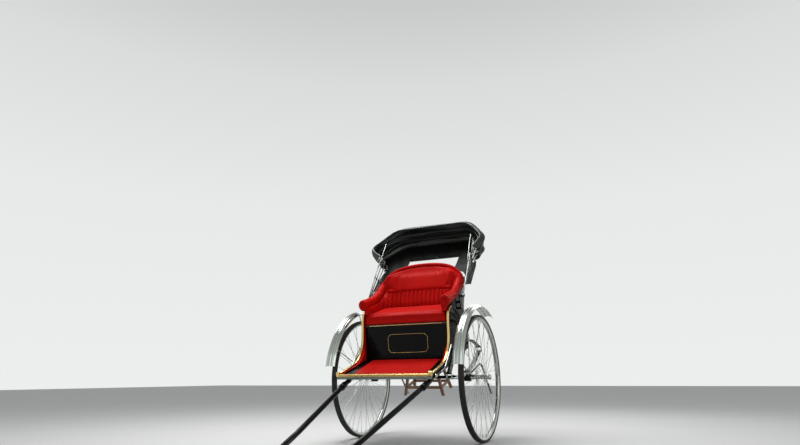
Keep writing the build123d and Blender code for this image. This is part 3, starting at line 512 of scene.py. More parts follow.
def stuffed(piece, voxel, shrink, cap, held):
    """Swell a closed piece as stuffing does, keeping still what `held` says, then smooth it."""
    all_of(piece, (bpy.ops.transform.shrink_fatten, {"value": -shrink}))
    modified(piece, "REMESH", mode="VOXEL", voxel_size=voxel)
    places = [vertex.co.copy() for vertex in piece.data.vertices]
    group = piece.vertex_groups.new(name="held")
    group.add([number for number, place in enumerate(places) if held(place)], 1.0, "REPLACE")
    swelling = piece.modifiers.new("stuffing", "CLOTH")
    swelling.settings.use_pressure = True
    swelling.settings.uniform_pressure_force = 4.0
    swelling.settings.effector_weights.gravity = 0.0
    swelling.settings.vertex_group_mass = "held"
    for number in range(1, 21):
        bpy.context.scene.frame_set(number)
    alone(piece)
    bpy.ops.object.modifier_apply(modifier="stuffing")
    bpy.context.scene.frame_set(1)
    for vertex, place in zip(piece.data.vertices, places):
        move = vertex.co - place
        if move.length > cap:
            vertex.co = place + move * (cap / move.length)
    modified(piece, "SMOOTH", factor=0.5, iterations=4)
    modified(piece, "SUBSURF", levels=1, render_levels=1)


def tube(name, points, radius, closed=False, sides=3):
    """A smooth round tube through level points."""
    line = bpy.data.curves.new(name, "CURVE")
    line.dimensions = "3D"
    line.bevel_depth = radius
    line.bevel_resolution = sides
    line.resolution_u = 4
    line.use_fill_caps = not closed
    spline = line.splines.new("NURBS")
    spline.points.add(len(points) - 1)
    for point, place in zip(spline.points, points):
        point.co = tuple(place) + (1.0,)
    spline.order_u = 3
    spline.use_endpoint_u = not closed
    spline.use_cyclic_u = closed
    piece = bpy.data.objects.new(name, line)
    bpy.context.scene.collection.objects.link(piece)
    alone(piece)
    bpy.ops.object.convert(target="MESH")
    return bpy.context.object


def smooth_step(value):
    value = min(max(value, 0.0), 1.0)
    return value * value * (3.0 - 2.0 * value)


# Upholstery, all in metres in the level frame with its origin at the axle

CUSHION_BOTTOM = 0.5252
CUSHION_TOP = 0.6112
INNER_HALF = 0.3996
PAD_FRONT = -0.150
BACK_KNEE_Z = 0.560
BACK_LEAN = 0.5616
PAD_BACK_Y = 0.1796
PAD_SIDE = 0.048
SEAM_Z = 0.757
CHANNEL = 0.044
CHANNEL_SPAN = 0.40


def hollow_line(z):
    """Half of the plan of the passengers' space at a height, from the middle of the back round."""
    share = min(max((z - CUSHION_TOP) / 0.366, 0.0), 1.0)
    half = INNER_HALF - PAD_SIDE * (1.0 - share / 2.0)
    back = PAD_BACK_Y + BACK_LEAN * (z - BACK_KNEE_Z)
    corner = 0.150 + 0.100 * share
    points = [Vector((0.0, back, z))]
    for step in range(9):
        turn = math.radians(90.0 - 11.25 * step)
        points.append(Vector((half - corner * (1.0 - math.cos(turn)),
                              back - corner * (1.0 - math.sin(turn)), z)))
    points.append(Vector((half, PAD_FRONT, z)))
    return points


def along_hollow(place):
    """How far round from the middle of the back a point is, and how far from the space's edge."""
    line = hollow_line(place.z)
    spot = Vector((abs(place.x), place.y, place.z))
    best = (9.0, 0.0)
    done = 0.0
    for start, stop in zip(line, line[1:]):
        run = stop - start
        share = min(max((spot - start).dot(run) / run.length_squared, 0.0), 1.0)
        gap = (spot - start - run * share).length
        if gap < best[0]:
            best = (gap, done + run.length * share)
        done += run.length
    return math.copysign(best[1], place.x), best[0]


def cut_rolls(name, y, rear):
    """The arm rolls' mesh on one side of a cut across them, closed at the cut."""
    rolls = level_copy(name, "arm_rolls")
    side = {"clear_inner": rear, "clear_outer": not rear, "use_fill": True}
    all_of(rolls, (bpy.ops.mesh.bisect, dict(side, plane_co=(0.0, y, 0.8), plane_no=(0.0, 0.85, 0.53))))
    if rear:
        all_of(rolls, (bpy.ops.mesh.subdivide, {"number_cuts": 3}))
        for vertex in rolls.data.vertices:
            place = vertex.co
            y = min(max(place.y, 0.18), 0.368)
            z = 0.748 + (y - 0.18) * (0.526 if y < 0.275 else 0.57)
            middle = Vector((math.copysign(0.396 - 0.012 * smooth_step((y - 0.27) / 0.1), place.x), y, z))
            place += (middle - place) * 0.22 * smooth_step((y - 0.25) / 0.10)
    return rolls


class RICKSHAW_OT_cushion(bpy.types.Operator):
    """Make the stuffed seat cushion and its welts"""
    bl_idname = "rickshaw.cushion"
    bl_label = "Seat cushion"

    def execute(self, context):
        cushion = level_copy("soft_cushion", "seat_cushion")
        bottom = min(vertex.co.z for vertex in cushion.data.vertices)
        stuffed(cushion, 0.006, 0.004, 0.014, lambda place: place.z < bottom + 0.012)
        for vertex in cushion.data.vertices:
            place = vertex.co
            place.x = min(max(place.x, -INNER_HALF), INNER_HALF)
            place.z = max(place.z, CUSHION_BOTTOM)
            unevenness = 0.0018 * noise.noise(Vector((place.x * 9.0, place.y * 9.0, 3.0)))
            place.z += unevenness * (place.z > CUSHION_BOTTOM + 0.01)
        tree = BVHTree.FromObject(cushion, context.evaluated_depsgraph_get())
        welts = []
        for name, rise in (("cushion_welt_top", 1.0), ("cushion_welt_foot", -1.4)):
            welts.append(self.welt(name, tree, rise))
        parked_piece(cushion, "red_cloth")
        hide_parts("seat_cushion")
        for welt in welts:
            parked_piece(welt, "red_piping")
        return {"FINISHED"}

    def welt(self, name, tree, rise):
        """A corded seam round the cushion, pressed onto its upper or lower edge."""
        middle = Vector((0.0, 0.03, 0.568))
        half_x, half_y, corner = 0.392, 0.198, 0.03
        points = []
        for side, (sx, sy) in enumerate(((1, -1), (1, 1), (-1, 1), (-1, -1))):
            for step in range(4):
                turn = math.radians(90.0 * (side - 1) + 30.0 * step)
                points.append((sx * (half_x - corner) + corner * math.cos(turn),
                               sy * (half_y - corner) + corner * math.sin(turn)))
        ring = []
        for start, stop in zip(points, points[1:] + points[:1]):
            run = math.hypot(stop[0] - start[0], stop[1] - start[1])
            count = max(1, round(run / 0.03))
            ring += [(start[0] + (stop[0] - start[0]) * k / count,
                      start[1] + (stop[1] - start[1]) * k / count) for k in range(count)]
        line = []
        for x, y in ring:
            out = Vector((x, y, 0.0))
            edge = Vector((max(min(x, half_x - corner), corner - half_x),
                           max(min(y, half_y - corner), corner - half_y), 0.0))
            aim = (out - edge).normalized()
            aim = Vector((aim.x, aim.y, rise)).normalized()
            spot, normal, index, gap = tree.ray_cast(middle + edge + aim * 0.2, -aim)
            if spot is not None:
                line.append(spot - aim * 0.0005)
        return tube(name, line, 0.0035, closed=True)


class RICKSHAW_OT_seat_back(bpy.types.Operator):
    """Make the padded back, smooth above its seam and channelled below"""
    bl_idname = "rickshaw.seat_back"
    bl_label = "Seat back"

    def execute(self, context):
        back = level_copy("soft_back", "seat_back")
        joined([back, cut_rolls("roll_ends", 0.235, True)])
        stuffed(back, 0.0065, 0.002, 0.012, self.against_wall)
        self.merge_rolls(back)
        face_outwards(back)
        move_each(back, lambda vertex: vertex.normal * self.rise(vertex))
        parked_piece(back, "red_cloth")
        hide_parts("seat_back")
        welt = self.edge_welt()
        parked_piece(welt, "red_cloth")
        return {"FINISHED"}

    def merge_rolls(self, back):
        """Ease the creases where the arm rolls run into the back."""
        group = back.vertex_groups.new(name="junction")
        for vertex in back.data.vertices:
            place = vertex.co
            share = smooth_step((abs(place.x) - 0.30) / 0.05) * smooth_step((place.y - 0.20) / 0.03)
            share *= smooth_step((place.z - 0.770) / 0.02)
            if share > 0.01:
                group.add([vertex.index], share, "REPLACE")
        modified(back, "SMOOTH", factor=0.9, iterations=60, vertex_group="junction")

    def edge_welt(self):
        """The padded edge along the arched top."""
        half = [(0.4250, 0.262, 0.742), (0.4260, 0.296, 0.778), (0.4180, 0.330, 0.812),
                (0.4060, 0.357, 0.846), (0.3790, 0.378, 0.882), (0.3300, 0.402, 0.922),
                (0.2530, 0.423, 0.954), (0.1430, 0.434, 0.973), (0.0, 0.438, 0.979)]
        points = half + [(-x, y, z) for x, y, z in reversed(half[:-1])]
        return tube("back_welt", points, 0.0150, sides=5)

    def against_wall(self, place):
        behind = place.y - (0.2316 + BACK_LEAN * (place.z - BACK_KNEE_Z))
        return abs(place.x) > INNER_HALF - 0.008 or behind > -0.008 or place.z < CUSHION_TOP + 0.006

    def rise(self, vertex):
        """How far a point of the inner face stands out from the plain pad."""
        place = vertex.co
        if vertex.normal.y > 0.55 or abs(place.x) > INNER_HALF - 0.004:
            return 0.0
        round_by, gap = along_hollow(place)
        if gap > 0.03:
            return 0.0
        near = 1.0 - smooth_step((gap - 0.018) / 0.012)
        seam = SEAM_Z + 0.012 * smooth_step((abs(round_by) - 0.30) / 0.12)
        above = place.z - seam
        crease = -0.010 * math.exp(-(above / 0.0055) ** 2)
        if above > 0.0:
            panel = 0.012 * (1.0 - math.exp(-above / 0.012)) * math.exp(-above / 0.11)
            return near * (crease + panel)
        share = abs(2.0 * ((round_by / CHANNEL + 0.5) % 1.0) - 1.0)
        fade = 1.0 - smooth_step((abs(round_by) - CHANNEL_SPAN) / 0.03)
        fold = -0.013 * share ** 5 * fade * smooth_step((place.z - CUSHION_TOP + 0.02) / 0.03)
        return near * (crease + fold)


class RICKSHAW_OT_arms(bpy.types.Operator):
    """Make the stuffed arm rolls with their gathered ends"""
    bl_idname = "rickshaw.arms"
    bl_label = "Arm rolls"

    def execute(self, context):
        arms = cut_rolls("soft_arms", 0.262, False)
        stuffed(arms, 0.006, 0.002, 0.006, lambda place: place.y > 0.24)
        face_outwards(arms)
        middle = Vector((0.400, -0.160, 0.712))
        move_each(arms, lambda vertex: self.move(vertex, middle))
        buttons = self.buttons(middle)
        parked_piece(arms, "red_cloth")
        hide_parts("arm_rolls")
        parked_piece(buttons, "red_piping")
        return {"FINISHED"}

    def move(self, vertex, middle):
        place = vertex.co
        across = abs(place.x) - middle.x
        up = place.z - middle.z
        away = math.hypot(across, up)
        turn = math.atan2(up, across)
        back = place.y - middle.y
        end = 1.0 - smooth_step(back / 0.045)
        pleats = -0.0045 * (0.5 - 0.5 * math.cos(15.0 * turn)) ** 2 * end * smooth_step(away / 0.02)
        ripple = noise.noise(Vector((turn * 1.3, back * 26.0, math.copysign(2.0, place.x))))
        creases = -0.0035 * max(0.0, ripple) ** 0.5
        creases *= smooth_step(back / 0.02) * (1.0 - smooth_step((back - 0.30) / 0.12))
        dimple = 0.016 * math.exp(-(away / 0.017) ** 2) * (back < 0.02)
        full = 1.0 - smooth_step((back - 0.02) / 0.16)
        low = 0.5 - 0.5 * math.sin(turn)
        droop = Vector((0.0, 0.0, -0.014 * full * low * low))
        return vertex.normal * (pleats + creases + 0.004 * full) + Vector((0.0, dimple, 0.0)) + droop

    def buttons(self, middle):
        """The covered buttons that the gathers run into."""
        bpy.ops.object.select_all(action="DESELECT")
        place = (middle.x, middle.y + 0.009, middle.z)
        bpy.ops.mesh.primitive_uv_sphere_add(segments=24, ring_count=12, radius=0.008, location=place)
        button = bpy.context.object
        button.name = "arm_buttons"
        bpy.ops.object.mode_set(mode="EDIT")
        bpy.ops.mesh.select_all(action="SELECT")
        bpy.ops.transform.resize(value=(1.0, 0.45, 1.0), center_override=place)
        bpy.ops.object.mode_set(mode="OBJECT")
        bpy.ops.object.transform_apply(location=True, rotation=True, scale=True)
        modified(button, "MIRROR")
        return button


# Hood, in metres in the level frame

PIN_Y = 0.100
PIN_Z = 0.700
IRON_X = 0.462
IRON_STEP = 0.008
BOWS = [
    # name, angle up from level behind the pins, pull inward of its sides, extra pull of its tips
    ("rear", 29.0, 0.022, 0.019),
    ("third", 34.5, 0.010, 0.037),
    ("second", 39.5, 0.003, 0.031),
    ("front", 44.0, 0.0, 0.0),
]
WINDOW = [
    # x, reach from the pins
    (-0.456, 0.190),
    (-0.442, 0.300),
    (-0.420, 0.350),
    (-0.394, 0.392),
    (-0.342, 0.427),
    (-0.282, 0.470),
    (-0.248, 0.530),
    (-0.246, 0.694),
    (0.292, 0.694),
    (0.292, 0.530),
    (0.284, 0.468),
    (0.344, 0.418),
    (0.393, 0.391),
    (0.420, 0.350),
    (0.442, 0.300),
    (0.456, 0.190),
]
TUCK = 0.045
HOOP = [
    # x, reach from the pins
    (0.491, 0.580),
    (0.581, 0.655),
    (0.600, 0.705),
    (0.535, 0.770),
    (0.457, 0.846),
    (0.361, 0.908),
    (0.180, 0.912),
]


def on_bow(x, reach, angle, lift=0.0):
    """A level point at a reach along a bow that stands at an angle, lifted square to the bow."""
    turn = math.radians(angle)
    return Vector((x, PIN_Y + reach * math.cos(turn) - lift * math.sin(turn),
                   PIN_Z + reach * math.sin(turn) + lift * math.cos(turn)))


def smooth_line(points, steps):
    """Points on a smooth curve that passes through each of the given ones."""
    line = []
    for index in range(len(points) - 1):
        a, b, c, d = [Vector(points[min(max(index + shift, 0), len(points) - 1)]) for shift in (-1, 0, 1, 2)]
        for step in range(steps):
            t = step / steps
            line.append(0.5 * (2.0 * b + (c - a) * t + (2.0 * a - 5.0 * b + 4.0 * c - d) * t ** 2
                               + (3.0 * b - 3.0 * c + d - a) * t ** 3))
    return line + [Vector(points[-1])]


def hoop_line(pull, out, tips=0.0):
    """The smooth (x, reach) line of a bow from foot to foot, moved outward by `out`."""
    points = []
    for side, draw in ((1.0, tips + TUCK), (-1.0, tips)):
        for x, reach in HOOP[::int(side)]:
            drawn = x - pull * min(1.0, x / 0.3) - draw * smooth_step((x - 0.50) / 0.09)
            points.append((side * drawn, reach))
    line = smooth_line(points, 9)
    moved = []
    for index, place in enumerate(line):
        run = line[min(index + 1, len(line) - 1)] - line[max(index - 1, 0)]
        moved.append(place + Vector((run.y, -run.x)).normalized() * out * -1.0)
    return moved


def cloth_grid(name, rows, thickness):
    """A sheet of cloth through rows of points, with an even thickness."""
    width = len(rows[0])
    mesh = bpy.data.meshes.new(name)
    faces = [(row * width + k, row * width + k + 1, (row + 1) * width + k + 1, (row + 1) * width + k)
             for row in range(len(rows) - 1) for k in range(width - 1)]
    mesh.from_pydata([place for row in rows for place in row], [], faces)
    piece = placed(name, mesh)
    face_outwards(piece)
    modified(piece, "SOLIDIFY", thickness=thickness, offset=0.0)
    return piece


def ribbed_bar(name, rows):
    """A closed bar whose long edges run through rows of points."""
    length = len(rows[0])
    sides = len(rows)
    faces = [(side * length + k, side * length + k + 1,
              (side + 1) % sides * length + k + 1, (side + 1) % sides * length + k)
             for side in range(sides) for k in range(length - 1)]
    faces += [tuple(side * length for side in range(sides)),
              tuple(side * length + length - 1 for side in range(sides))]
    mesh = bpy.data.meshes.new(name)
    mesh.from_pydata([place for row in rows for place in row], [], faces)
    piece = placed(name, mesh)
    face_outwards(piece)
    return piece


class RICKSHAW_OT_hood_cloth(bpy.types.Operator):
    """Make the hood cloth that hangs in folds between the bows, and the rolled front edge"""
    bl_idname = "rickshaw.hood_cloth"
    bl_label = "Hood cloth"

    def execute(self, context):
        for rear, front in zip(BOWS, BOWS[1:]):
            name = "hood_cloth_" + rear[0]
            piece = cloth_grid("soft_" + name, self.rows(rear, front), 0.0024)
            parked_piece(piece, "hood_cloth", body=None)
            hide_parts(name)
            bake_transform(piece)
        self.front_edge()
        return {"FINISHED"}

    def rows(self, rear, front):
        rows = []
        steps = 22
        for step in range(steps + 1):
            t = step / steps
            first = rear[1] - (2.3 if rear[0] == "rear" else 0.5)
            angle = first + (front[1] + 0.5 - first) * t
            pull = rear[2] + (front[2] - rear[2]) * t
            tips = rear[3] + (front[3] - rear[3]) * t
            arch = math.sin(math.pi * t)
            row = []
            line = hoop_line(pull, 0.003, tips)
            for index, place in enumerate(line):
                share = index / (len(line) - 1)
                slack = 1.0 + 0.35 * noise.noise(Vector((share * 7.0, rear[1], 0.0)))
                hang = arch ** 0.7 * (0.058 + 0.010 * math.cos(4.0 * math.pi * share)) * slack
                crumple = 0.004 * noise.noise(Vector((share * 26.0, t * 5.0, rear[1]))) * arch
                run = line[min(index + 1, len(line) - 1)] - line[max(index - 1, 0)]
                inward = Vector((run.y, -run.x)).normalized()
                spot = place + inward * (hang + crumple)
                row.append(on_bow(spot.x, spot.y, angle))
            rows.append(row)
        return rows

    def front_edge(self):
        """The cloth wrapped round the front bow."""
        angle, pull, tips = BOWS[-1][1:]
        line = [on_bow(place.x, place.y, angle + 0.25) for place in hoop_line(pull, -0.006, tips)]
        roll = tube("hood_front_roll", line, 0.0090, sides=6)
        for vertex in roll.data.vertices:
            vertex.co += vertex.normal * 0.0022 * noise.noise(vertex.co * 18.0)
        parked_piece(roll, "hood_cloth", "hood_front")


class RICKSHAW_OT_hood_bows(bpy.types.Operator):
    """Make the bent wooden bows with rounded edges"""
    bl_idname = "rickshaw.hood_bows"
    bl_label = "Hood bows"

    def execute(self, context):
        for layer, (name, angle, pull, tips) in enumerate(BOWS):
            foot = 0.462 + 0.008 * layer + 0.009
            half = [(foot, 0.500), (foot, 0.540)]
            line = half + [(place.x, place.y) for place in hoop_line(pull, 0.0, tips)]
            line += [(-x, reach) for x, reach in reversed(half)]
            rows = []
            for x_in, lift in ((0.0, -0.0055), (0.0, 0.0055), (0.017, 0.0045), (0.017, -0.0045)):
                row = []
                for index, (x, reach) in enumerate(line):
                    before = line[max(index - 1, 0)]
                    after = line[min(index + 1, len(line) - 1)]
                    inward = Vector((after[1] - before[1], before[0] - after[0])).normalized()
                    row.append(on_bow(x + inward.x * x_in, reach + inward.y * x_in, angle, lift))
                rows.append(row)
            bow = ribbed_bar("bent_bow_" + name, rows)
            modified(bow, "BEVEL", width=0.0028, segments=3, limit_method="ANGLE", angle_limit=0.9)
            parked_piece(bow, "black_wood", "hood_" + name, smooth=40)
            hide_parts("hood_bow_" + name)
        return {"FINISHED"}


class RICKSHAW_OT_hood_curtain(bpy.types.Operator):
    """Make the rear curtain and the window flap rolled up above its window"""
    bl_idname = "rickshaw.hood_curtain"
    bl_label = "Hood curtain"

    def execute(self, context):
        angle, pull, tips = BOWS[0][1:]
        turn = math.radians(angle)
        along = Vector((0.0, math.cos(turn), math.sin(turn)))
        across = Vector((0.0, -math.sin(turn), math.cos(turn)))
        pin = Vector((0.0, PIN_Y, PIN_Z))
        half = [(0.512, 0.190), (0.510, 0.330), (0.503, 0.470), (0.490, 0.560)]
        side = [(place.x, place.y) for place in hoop_line(pull, -0.006, tips)]
        outer = half + side + [(-x, reach) for x, reach in reversed(half)]
        outline = [on_bow(x, reach, angle, -0.0155) for x, reach in outer + WINDOW]
        sheet = bpy.data.meshes.new("soft_curtain")
        count = len(outline)
        sheet.from_pydata(outline, [(k, (k + 1) % count) for k in range(count)], [])
        curtain = bpy.data.objects.new("soft_curtain", sheet)
        context.scene.collection.objects.link(curtain)
        all_of(curtain, (bpy.ops.mesh.edge_face_add, {}))
        mesh = bmesh.new()
        mesh.from_mesh(curtain.data)
        for direction, first, last in ((Vector((1.0, 0.0, 0.0)), -0.6, 0.6), (along, 0.19, 0.92)):
            for step in range(int((last - first) / 0.012)):
                spot = direction * (first + 0.0055 + 0.012 * step) + (pin if direction is along else Vector())
                parts = list(mesh.verts) + list(mesh.edges) + list(mesh.faces)
                bmesh.ops.bisect_plane(mesh, geom=parts, plane_co=spot, plane_no=direction, dist=0.00001)
        mesh.to_mesh(curtain.data)
        mesh.free()
        for vertex in curtain.data.vertices:
            place = vertex.co - pin
            reach = place.dot(along)
            wave = 0.5 + 0.5 * math.sin(place.x * 46.0 + 1.3 * math.sin(reach * 9.0))
            slow = 0.5 + noise.noise(Vector((place.x * 5.0, reach * 4.0, 5.0)))
            vertex.co -= across * (0.005 * wave + 0.007 * max(slow, 0.0))
        modified(curtain, "SOLIDIFY", thickness=0.0024, offset=0.0)
        parked_piece(curtain, "curtain_cloth", "hood_rear", smooth=60)
        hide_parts("hood_curtain")
        self.flap(angle)
        return {"FINISHED"}

    def flap(self, angle):
        """The window's flap, rolled up."""
        turns = 34
        rows = []
        for step in range(turns + 1):
            turn = 2.0 * math.pi * 2.6 * step / turns
            radius = 0.0155 - 0.0095 * step / turns
            row = []
            for k in range(25):
                x = -0.282 + 0.564 * k / 24
                slump = 1.0 + 0.06 * noise.noise(Vector((x * 14.0, turn * 0.4, 1.0)))
                reach = 0.708 + radius * slump * math.sin(turn)
                row.append(on_bow(x + 0.023, reach, angle, -0.037 + radius * slump * math.cos(turn)))
            rows.append(row)
        flap = cloth_grid("soft_window_flap", rows, 0.0016)
        parked_piece(flap, "hood_cloth", "hood_rear", smooth=60)


# Rigid parts with softened edges

SOFTENED = [
    # node, edge width, shading angle
    ("side_panels", 0.0030, 35),
    ("back_panel", 0.0030, 35),
    ("floor", 0.0020, 35),
    ("toe_plate", 0.0030, 35),
    ("seat_board", 0.0030, 35),
    ("kick_panel", 0.0022, 35),
    ("gold_edges", 0.0022, 40),
    ("sills", 0.0040, 35),
    ("cross_members", 0.0040, 35),
    ("shaft_left", 0.0, 60),
    ("shaft_right", 0.0, 60),
    ("shaft_sockets", 0.0015, 60),
    ("crossbar", 0.0010, 50),
    ("side_rails", 0.0, 70),
    ("tip_props", 0.0, 70),
    ("fender_stays", 0.0, 70),
    ("boarding_stool", 0.0030, 35),
    ("stool_hangers", 0.0010, 35),
    ("hood_posts", 0.0012, 50),
    ("axle", 0.0010, 50),
    ("lower_springs", 0.0012, 50),
    ("upper_springs", 0.0012, 50),
    ("spring_shackles", 0.0008, 40),
    ("spring_clamps", 0.0010, 35),
    ("spring_brackets", 0.0015, 35),
]


def softened(node, width, angle, body="carriage"):
    """A copy of a fixed part with its edges rounded by hand-like chamfers, in its place."""
    finish = next(finish for start, finish in FINISH_OF if node.startswith(start))
    piece = level_copy("dressed_" + node, node)
    all_of(piece, (bpy.ops.mesh.dissolve_limited, {"angle_limit": 0.02}))
    if width:
        modified(piece, "BEVEL", width=width, segments=2, limit_method="ANGLE", angle_limit=0.7)
    parked_piece(piece, finish, body, smooth=angle)
    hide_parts(node)
    return piece


class RICKSHAW_OT_softened(bpy.types.Operator):
    """Round the edges of the lacquered, iron, chrome and wooden parts"""
    bl_idname = "rickshaw.softened"
    bl_label = "Softened edges"

    def execute(self, context):
        for node, width, angle in SOFTENED:
            softened(node, width, angle)
        for side in ("left", "right"):
            softened("spokes_" + side, 0.0, 70, "wheel_" + side)
        return {"FINISHED"}


# Wheels and fenders, in metres about the axle

WHEEL_X = 0.582
TYRE_LINE = [
    # across, radius
    (0.0165, 0.5030), (0.0205, 0.5070), (0.0238, 0.5130), (0.0246, 0.5190), (0.0230, 0.5240),
    (0.0190, 0.5272), (0.0140, 0.5289), (0.0112, 0.5276), (0.0096, 0.5296), (0.0050, 0.5300),
    (0.0036, 0.5282), (0.0020, 0.5300),
]
RIM_LINE = [
    # across, radius
    (0.0060, 0.4865), (0.0120, 0.4885), (0.0160, 0.4940), (0.0186, 0.5010), (0.0200, 0.5040),
    (0.0200, 0.5062), (0.0186, 0.5072), (0.0170, 0.5060), (0.0166, 0.5030), (0.0150, 0.5025),
]
HUB_LINE = [
    # out along the axle, radius
    (-0.0940, 0.0160), (-0.0925, 0.0205), (-0.0880, 0.0215), (-0.0780, 0.0200), (-0.0560, 0.0190),
    (-0.0440, 0.0215), (-0.0385, 0.0320), (-0.0380, 0.0340), (-0.0340, 0.0340), (-0.0335, 0.0320),
    (-0.0300, 0.0215), (-0.0200, 0.0185), (0.0, 0.0175), (0.0200, 0.0185), (0.0300, 0.0215),
    (0.0335, 0.0320), (0.0340, 0.0340), (0.0380, 0.0340), (0.0385, 0.0320), (0.0440, 0.0215),
    (0.0560, 0.0190), (0.0660, 0.0195), (0.0672, 0.0235), (0.0700, 0.0235), (0.0710, 0.0222),
    (0.0740, 0.0222), (0.0750, 0.0235), (0.0830, 0.0232), (0.0862, 0.0205), (0.0870, 0.0140),
    (0.0870, 0.0),
]
FENDER_RADIUS = 0.622
FENDER_FROM = 26.0
FENDER_SPAN = 109.0


def turned(name, line, closed, centre_x, start=0.0, span=360.0, steps=160):
    """Spin an (across, radius) line about the axle, from `start` degrees up from straight behind."""
    turn = math.radians(start)
    count = len(line)
    points = [(centre_x + x, r * math.cos(turn), r * math.sin(turn)) for x, r in line]
    edges = [(k, k + 1) for k in range(count - 1)] + ([(count - 1, 0)] if closed else [])
    mesh = bpy.data.meshes.new(name)
    mesh.from_pydata(points, edges, [])
    piece = placed(name, mesh)
    spin = {"steps": steps, "angle": -math.radians(span), "center": (0.0, 0.0, 0.0), "axis": (1.0, 0.0, 0.0)}
    all_of(piece, (bpy.ops.mesh.spin, spin), (bpy.ops.mesh.remove_doubles, {"threshold": 0.00002}))
    if span < 360.0:
        alone(piece)
        bpy.ops.object.mode_set(mode="EDIT")
        bpy.ops.mesh.select_all(action="DESELECT")
        bpy.ops.mesh.select_non_manifold()
        bpy.ops.mesh.edge_face_add()
        bpy.ops.object.mode_set(mode="OBJECT")
    face_outwards(piece)
    return piece


def both_sides(line):
    """A line given for one side, mirrored across and joined into a ring."""
    return line + [(-x, r) for x, r in reversed(line)]


class RICKSHAW_OT_wheels(bpy.types.Operator):
    """Turn the tyres, rims and hubs, and set a nipple on every spoke"""
    bl_idname = "rickshaw.wheels"
    bl_label = "Wheels"

    def execute(self, context):
        for name, side in (("left", 1), ("right", -1)):
            body = "wheel_" + name
            tyre = turned("round_tyre_" + name, both_sides(TYRE_LINE), True, side * WHEEL_X, steps=192)
            self.dress(tyre, "tyre_" + name, "rubber", body, 45)
            rim = turned("round_rim_" + name, both_sides(RIM_LINE), True, side * WHEEL_X, steps=192)
            self.dress(rim, "rim_" + name, "chrome", body, 50)
            line = [(side * x, r) for x, r in [(-0.0940, 0.0)] + HUB_LINE]
            hub = turned("round_hub_" + name, line, False, side * WHEEL_X, steps=48)
            self.dress(hub, "hub_" + name, "chrome", body, 40)
            nipples = self.nipples("nipples_" + name, side)
            parked_piece(nipples, "bright_steel", body, smooth=50)
        return {"FINISHED"}

    def dress(self, piece, node, finish, body, angle):
        parked_piece(piece, finish, body, smooth=angle)
        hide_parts(node)

    def nipples(self, name, side):
        """One small shouldered sleeve, copied to the outer end of each spoke."""
        bpy.ops.object.select_all(action="DESELECT")
        bpy.ops.mesh.primitive_cylinder_add(vertices=8, radius=0.0032, depth=0.014, location=(0.0, 0.0, 0.0))
        sleeve = bpy.context.object
        sleeve.name = name
        for vertex in sleeve.data.vertices:
            if vertex.co.z < 0.0:
                vertex.co.x *= 0.72
                vertex.co.y *= 0.72
        copies = []
        for number in range(36):
            lean = 1 if number % 2 else -1
            turn = math.radians(10.0 * number + 9.0 * lean)
            foot = Vector((0.005 * lean, 0.478 * math.cos(turn), 0.478 * math.sin(turn)))
            first = math.radians(10.0 * number)
            start = Vector((0.036 * lean, 0.034 * math.cos(first), 0.034 * math.sin(first)))
            aim = (foot - start).normalized()
            copy = sleeve.copy()
            copy.data = sleeve.data.copy()
            bpy.context.scene.collection.objects.link(copy)
            place = Matrix.Translation(foot + Vector((side * WHEEL_X, 0.0, 0.0)))
            copy.data.transform(place @ aim.to_track_quat("Z", "Y").to_matrix().to_4x4())
            copies.append(copy)
        bpy.data.objects.remove(sleeve)
        nipples = joined(copies)
        nipples.name = name
        return nipples


class RICKSHAW_OT_fenders(bpy.types.Operator):
    """Roll the ribbed fenders with wired edges"""
    bl_idname = "rickshaw.fenders"
    bl_label = "Fenders"

    def execute(self, context):
        start = 180.0 - FENDER_FROM - FENDER_SPAN
        fender = turned("ribbed_fenders", self.section(), True, WHEEL_X, start, FENDER_SPAN, 84)
        modified(fender, "MIRROR")
        parked_piece(fender, "chrome", smooth=50)
        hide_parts("fenders")
        return {"FINISHED"}

    def section(self):
        """The ring of a fender's section: domed, with a raised middle rib, two beads and wired edges."""
        half = []
        for step in range(27):
            x = 0.0455 * step / 26.0
            drop = 0.0060 * (x / 0.032) ** 2
            if x >= 0.032:
                drop = 0.0060 + 0.0136 * ((x - 0.032) / 0.0135) ** 1.25
            rib = 0.0052 * (1.0 - smooth_step((x - 0.0060) / 0.0040))
            bead = 0.0056 * math.exp(-((x - 0.0240) / 0.0036) ** 2)
            half.append((x, FENDER_RADIUS - 0.0040 - drop + rib + bead))
        x, r = half[-1]
        wire = []
        for step in range(9):
            turn = math.radians(60.0 - 37.0 * step)
            wire.append((x - 0.0010 + 0.0034 * math.cos(turn), r - 0.0022 + 0.0034 * math.sin(turn)))
        inner = [(x - 0.0008, r - 0.0016) for x, r in reversed(half[:-1])]
        side = half[:-1] + wire + inner[:-1]
        return side + [(-x, r) for x, r in reversed(side[1:])] + [(0.0, half[0][1] - 0.0016)]


# Trims, mat and linings

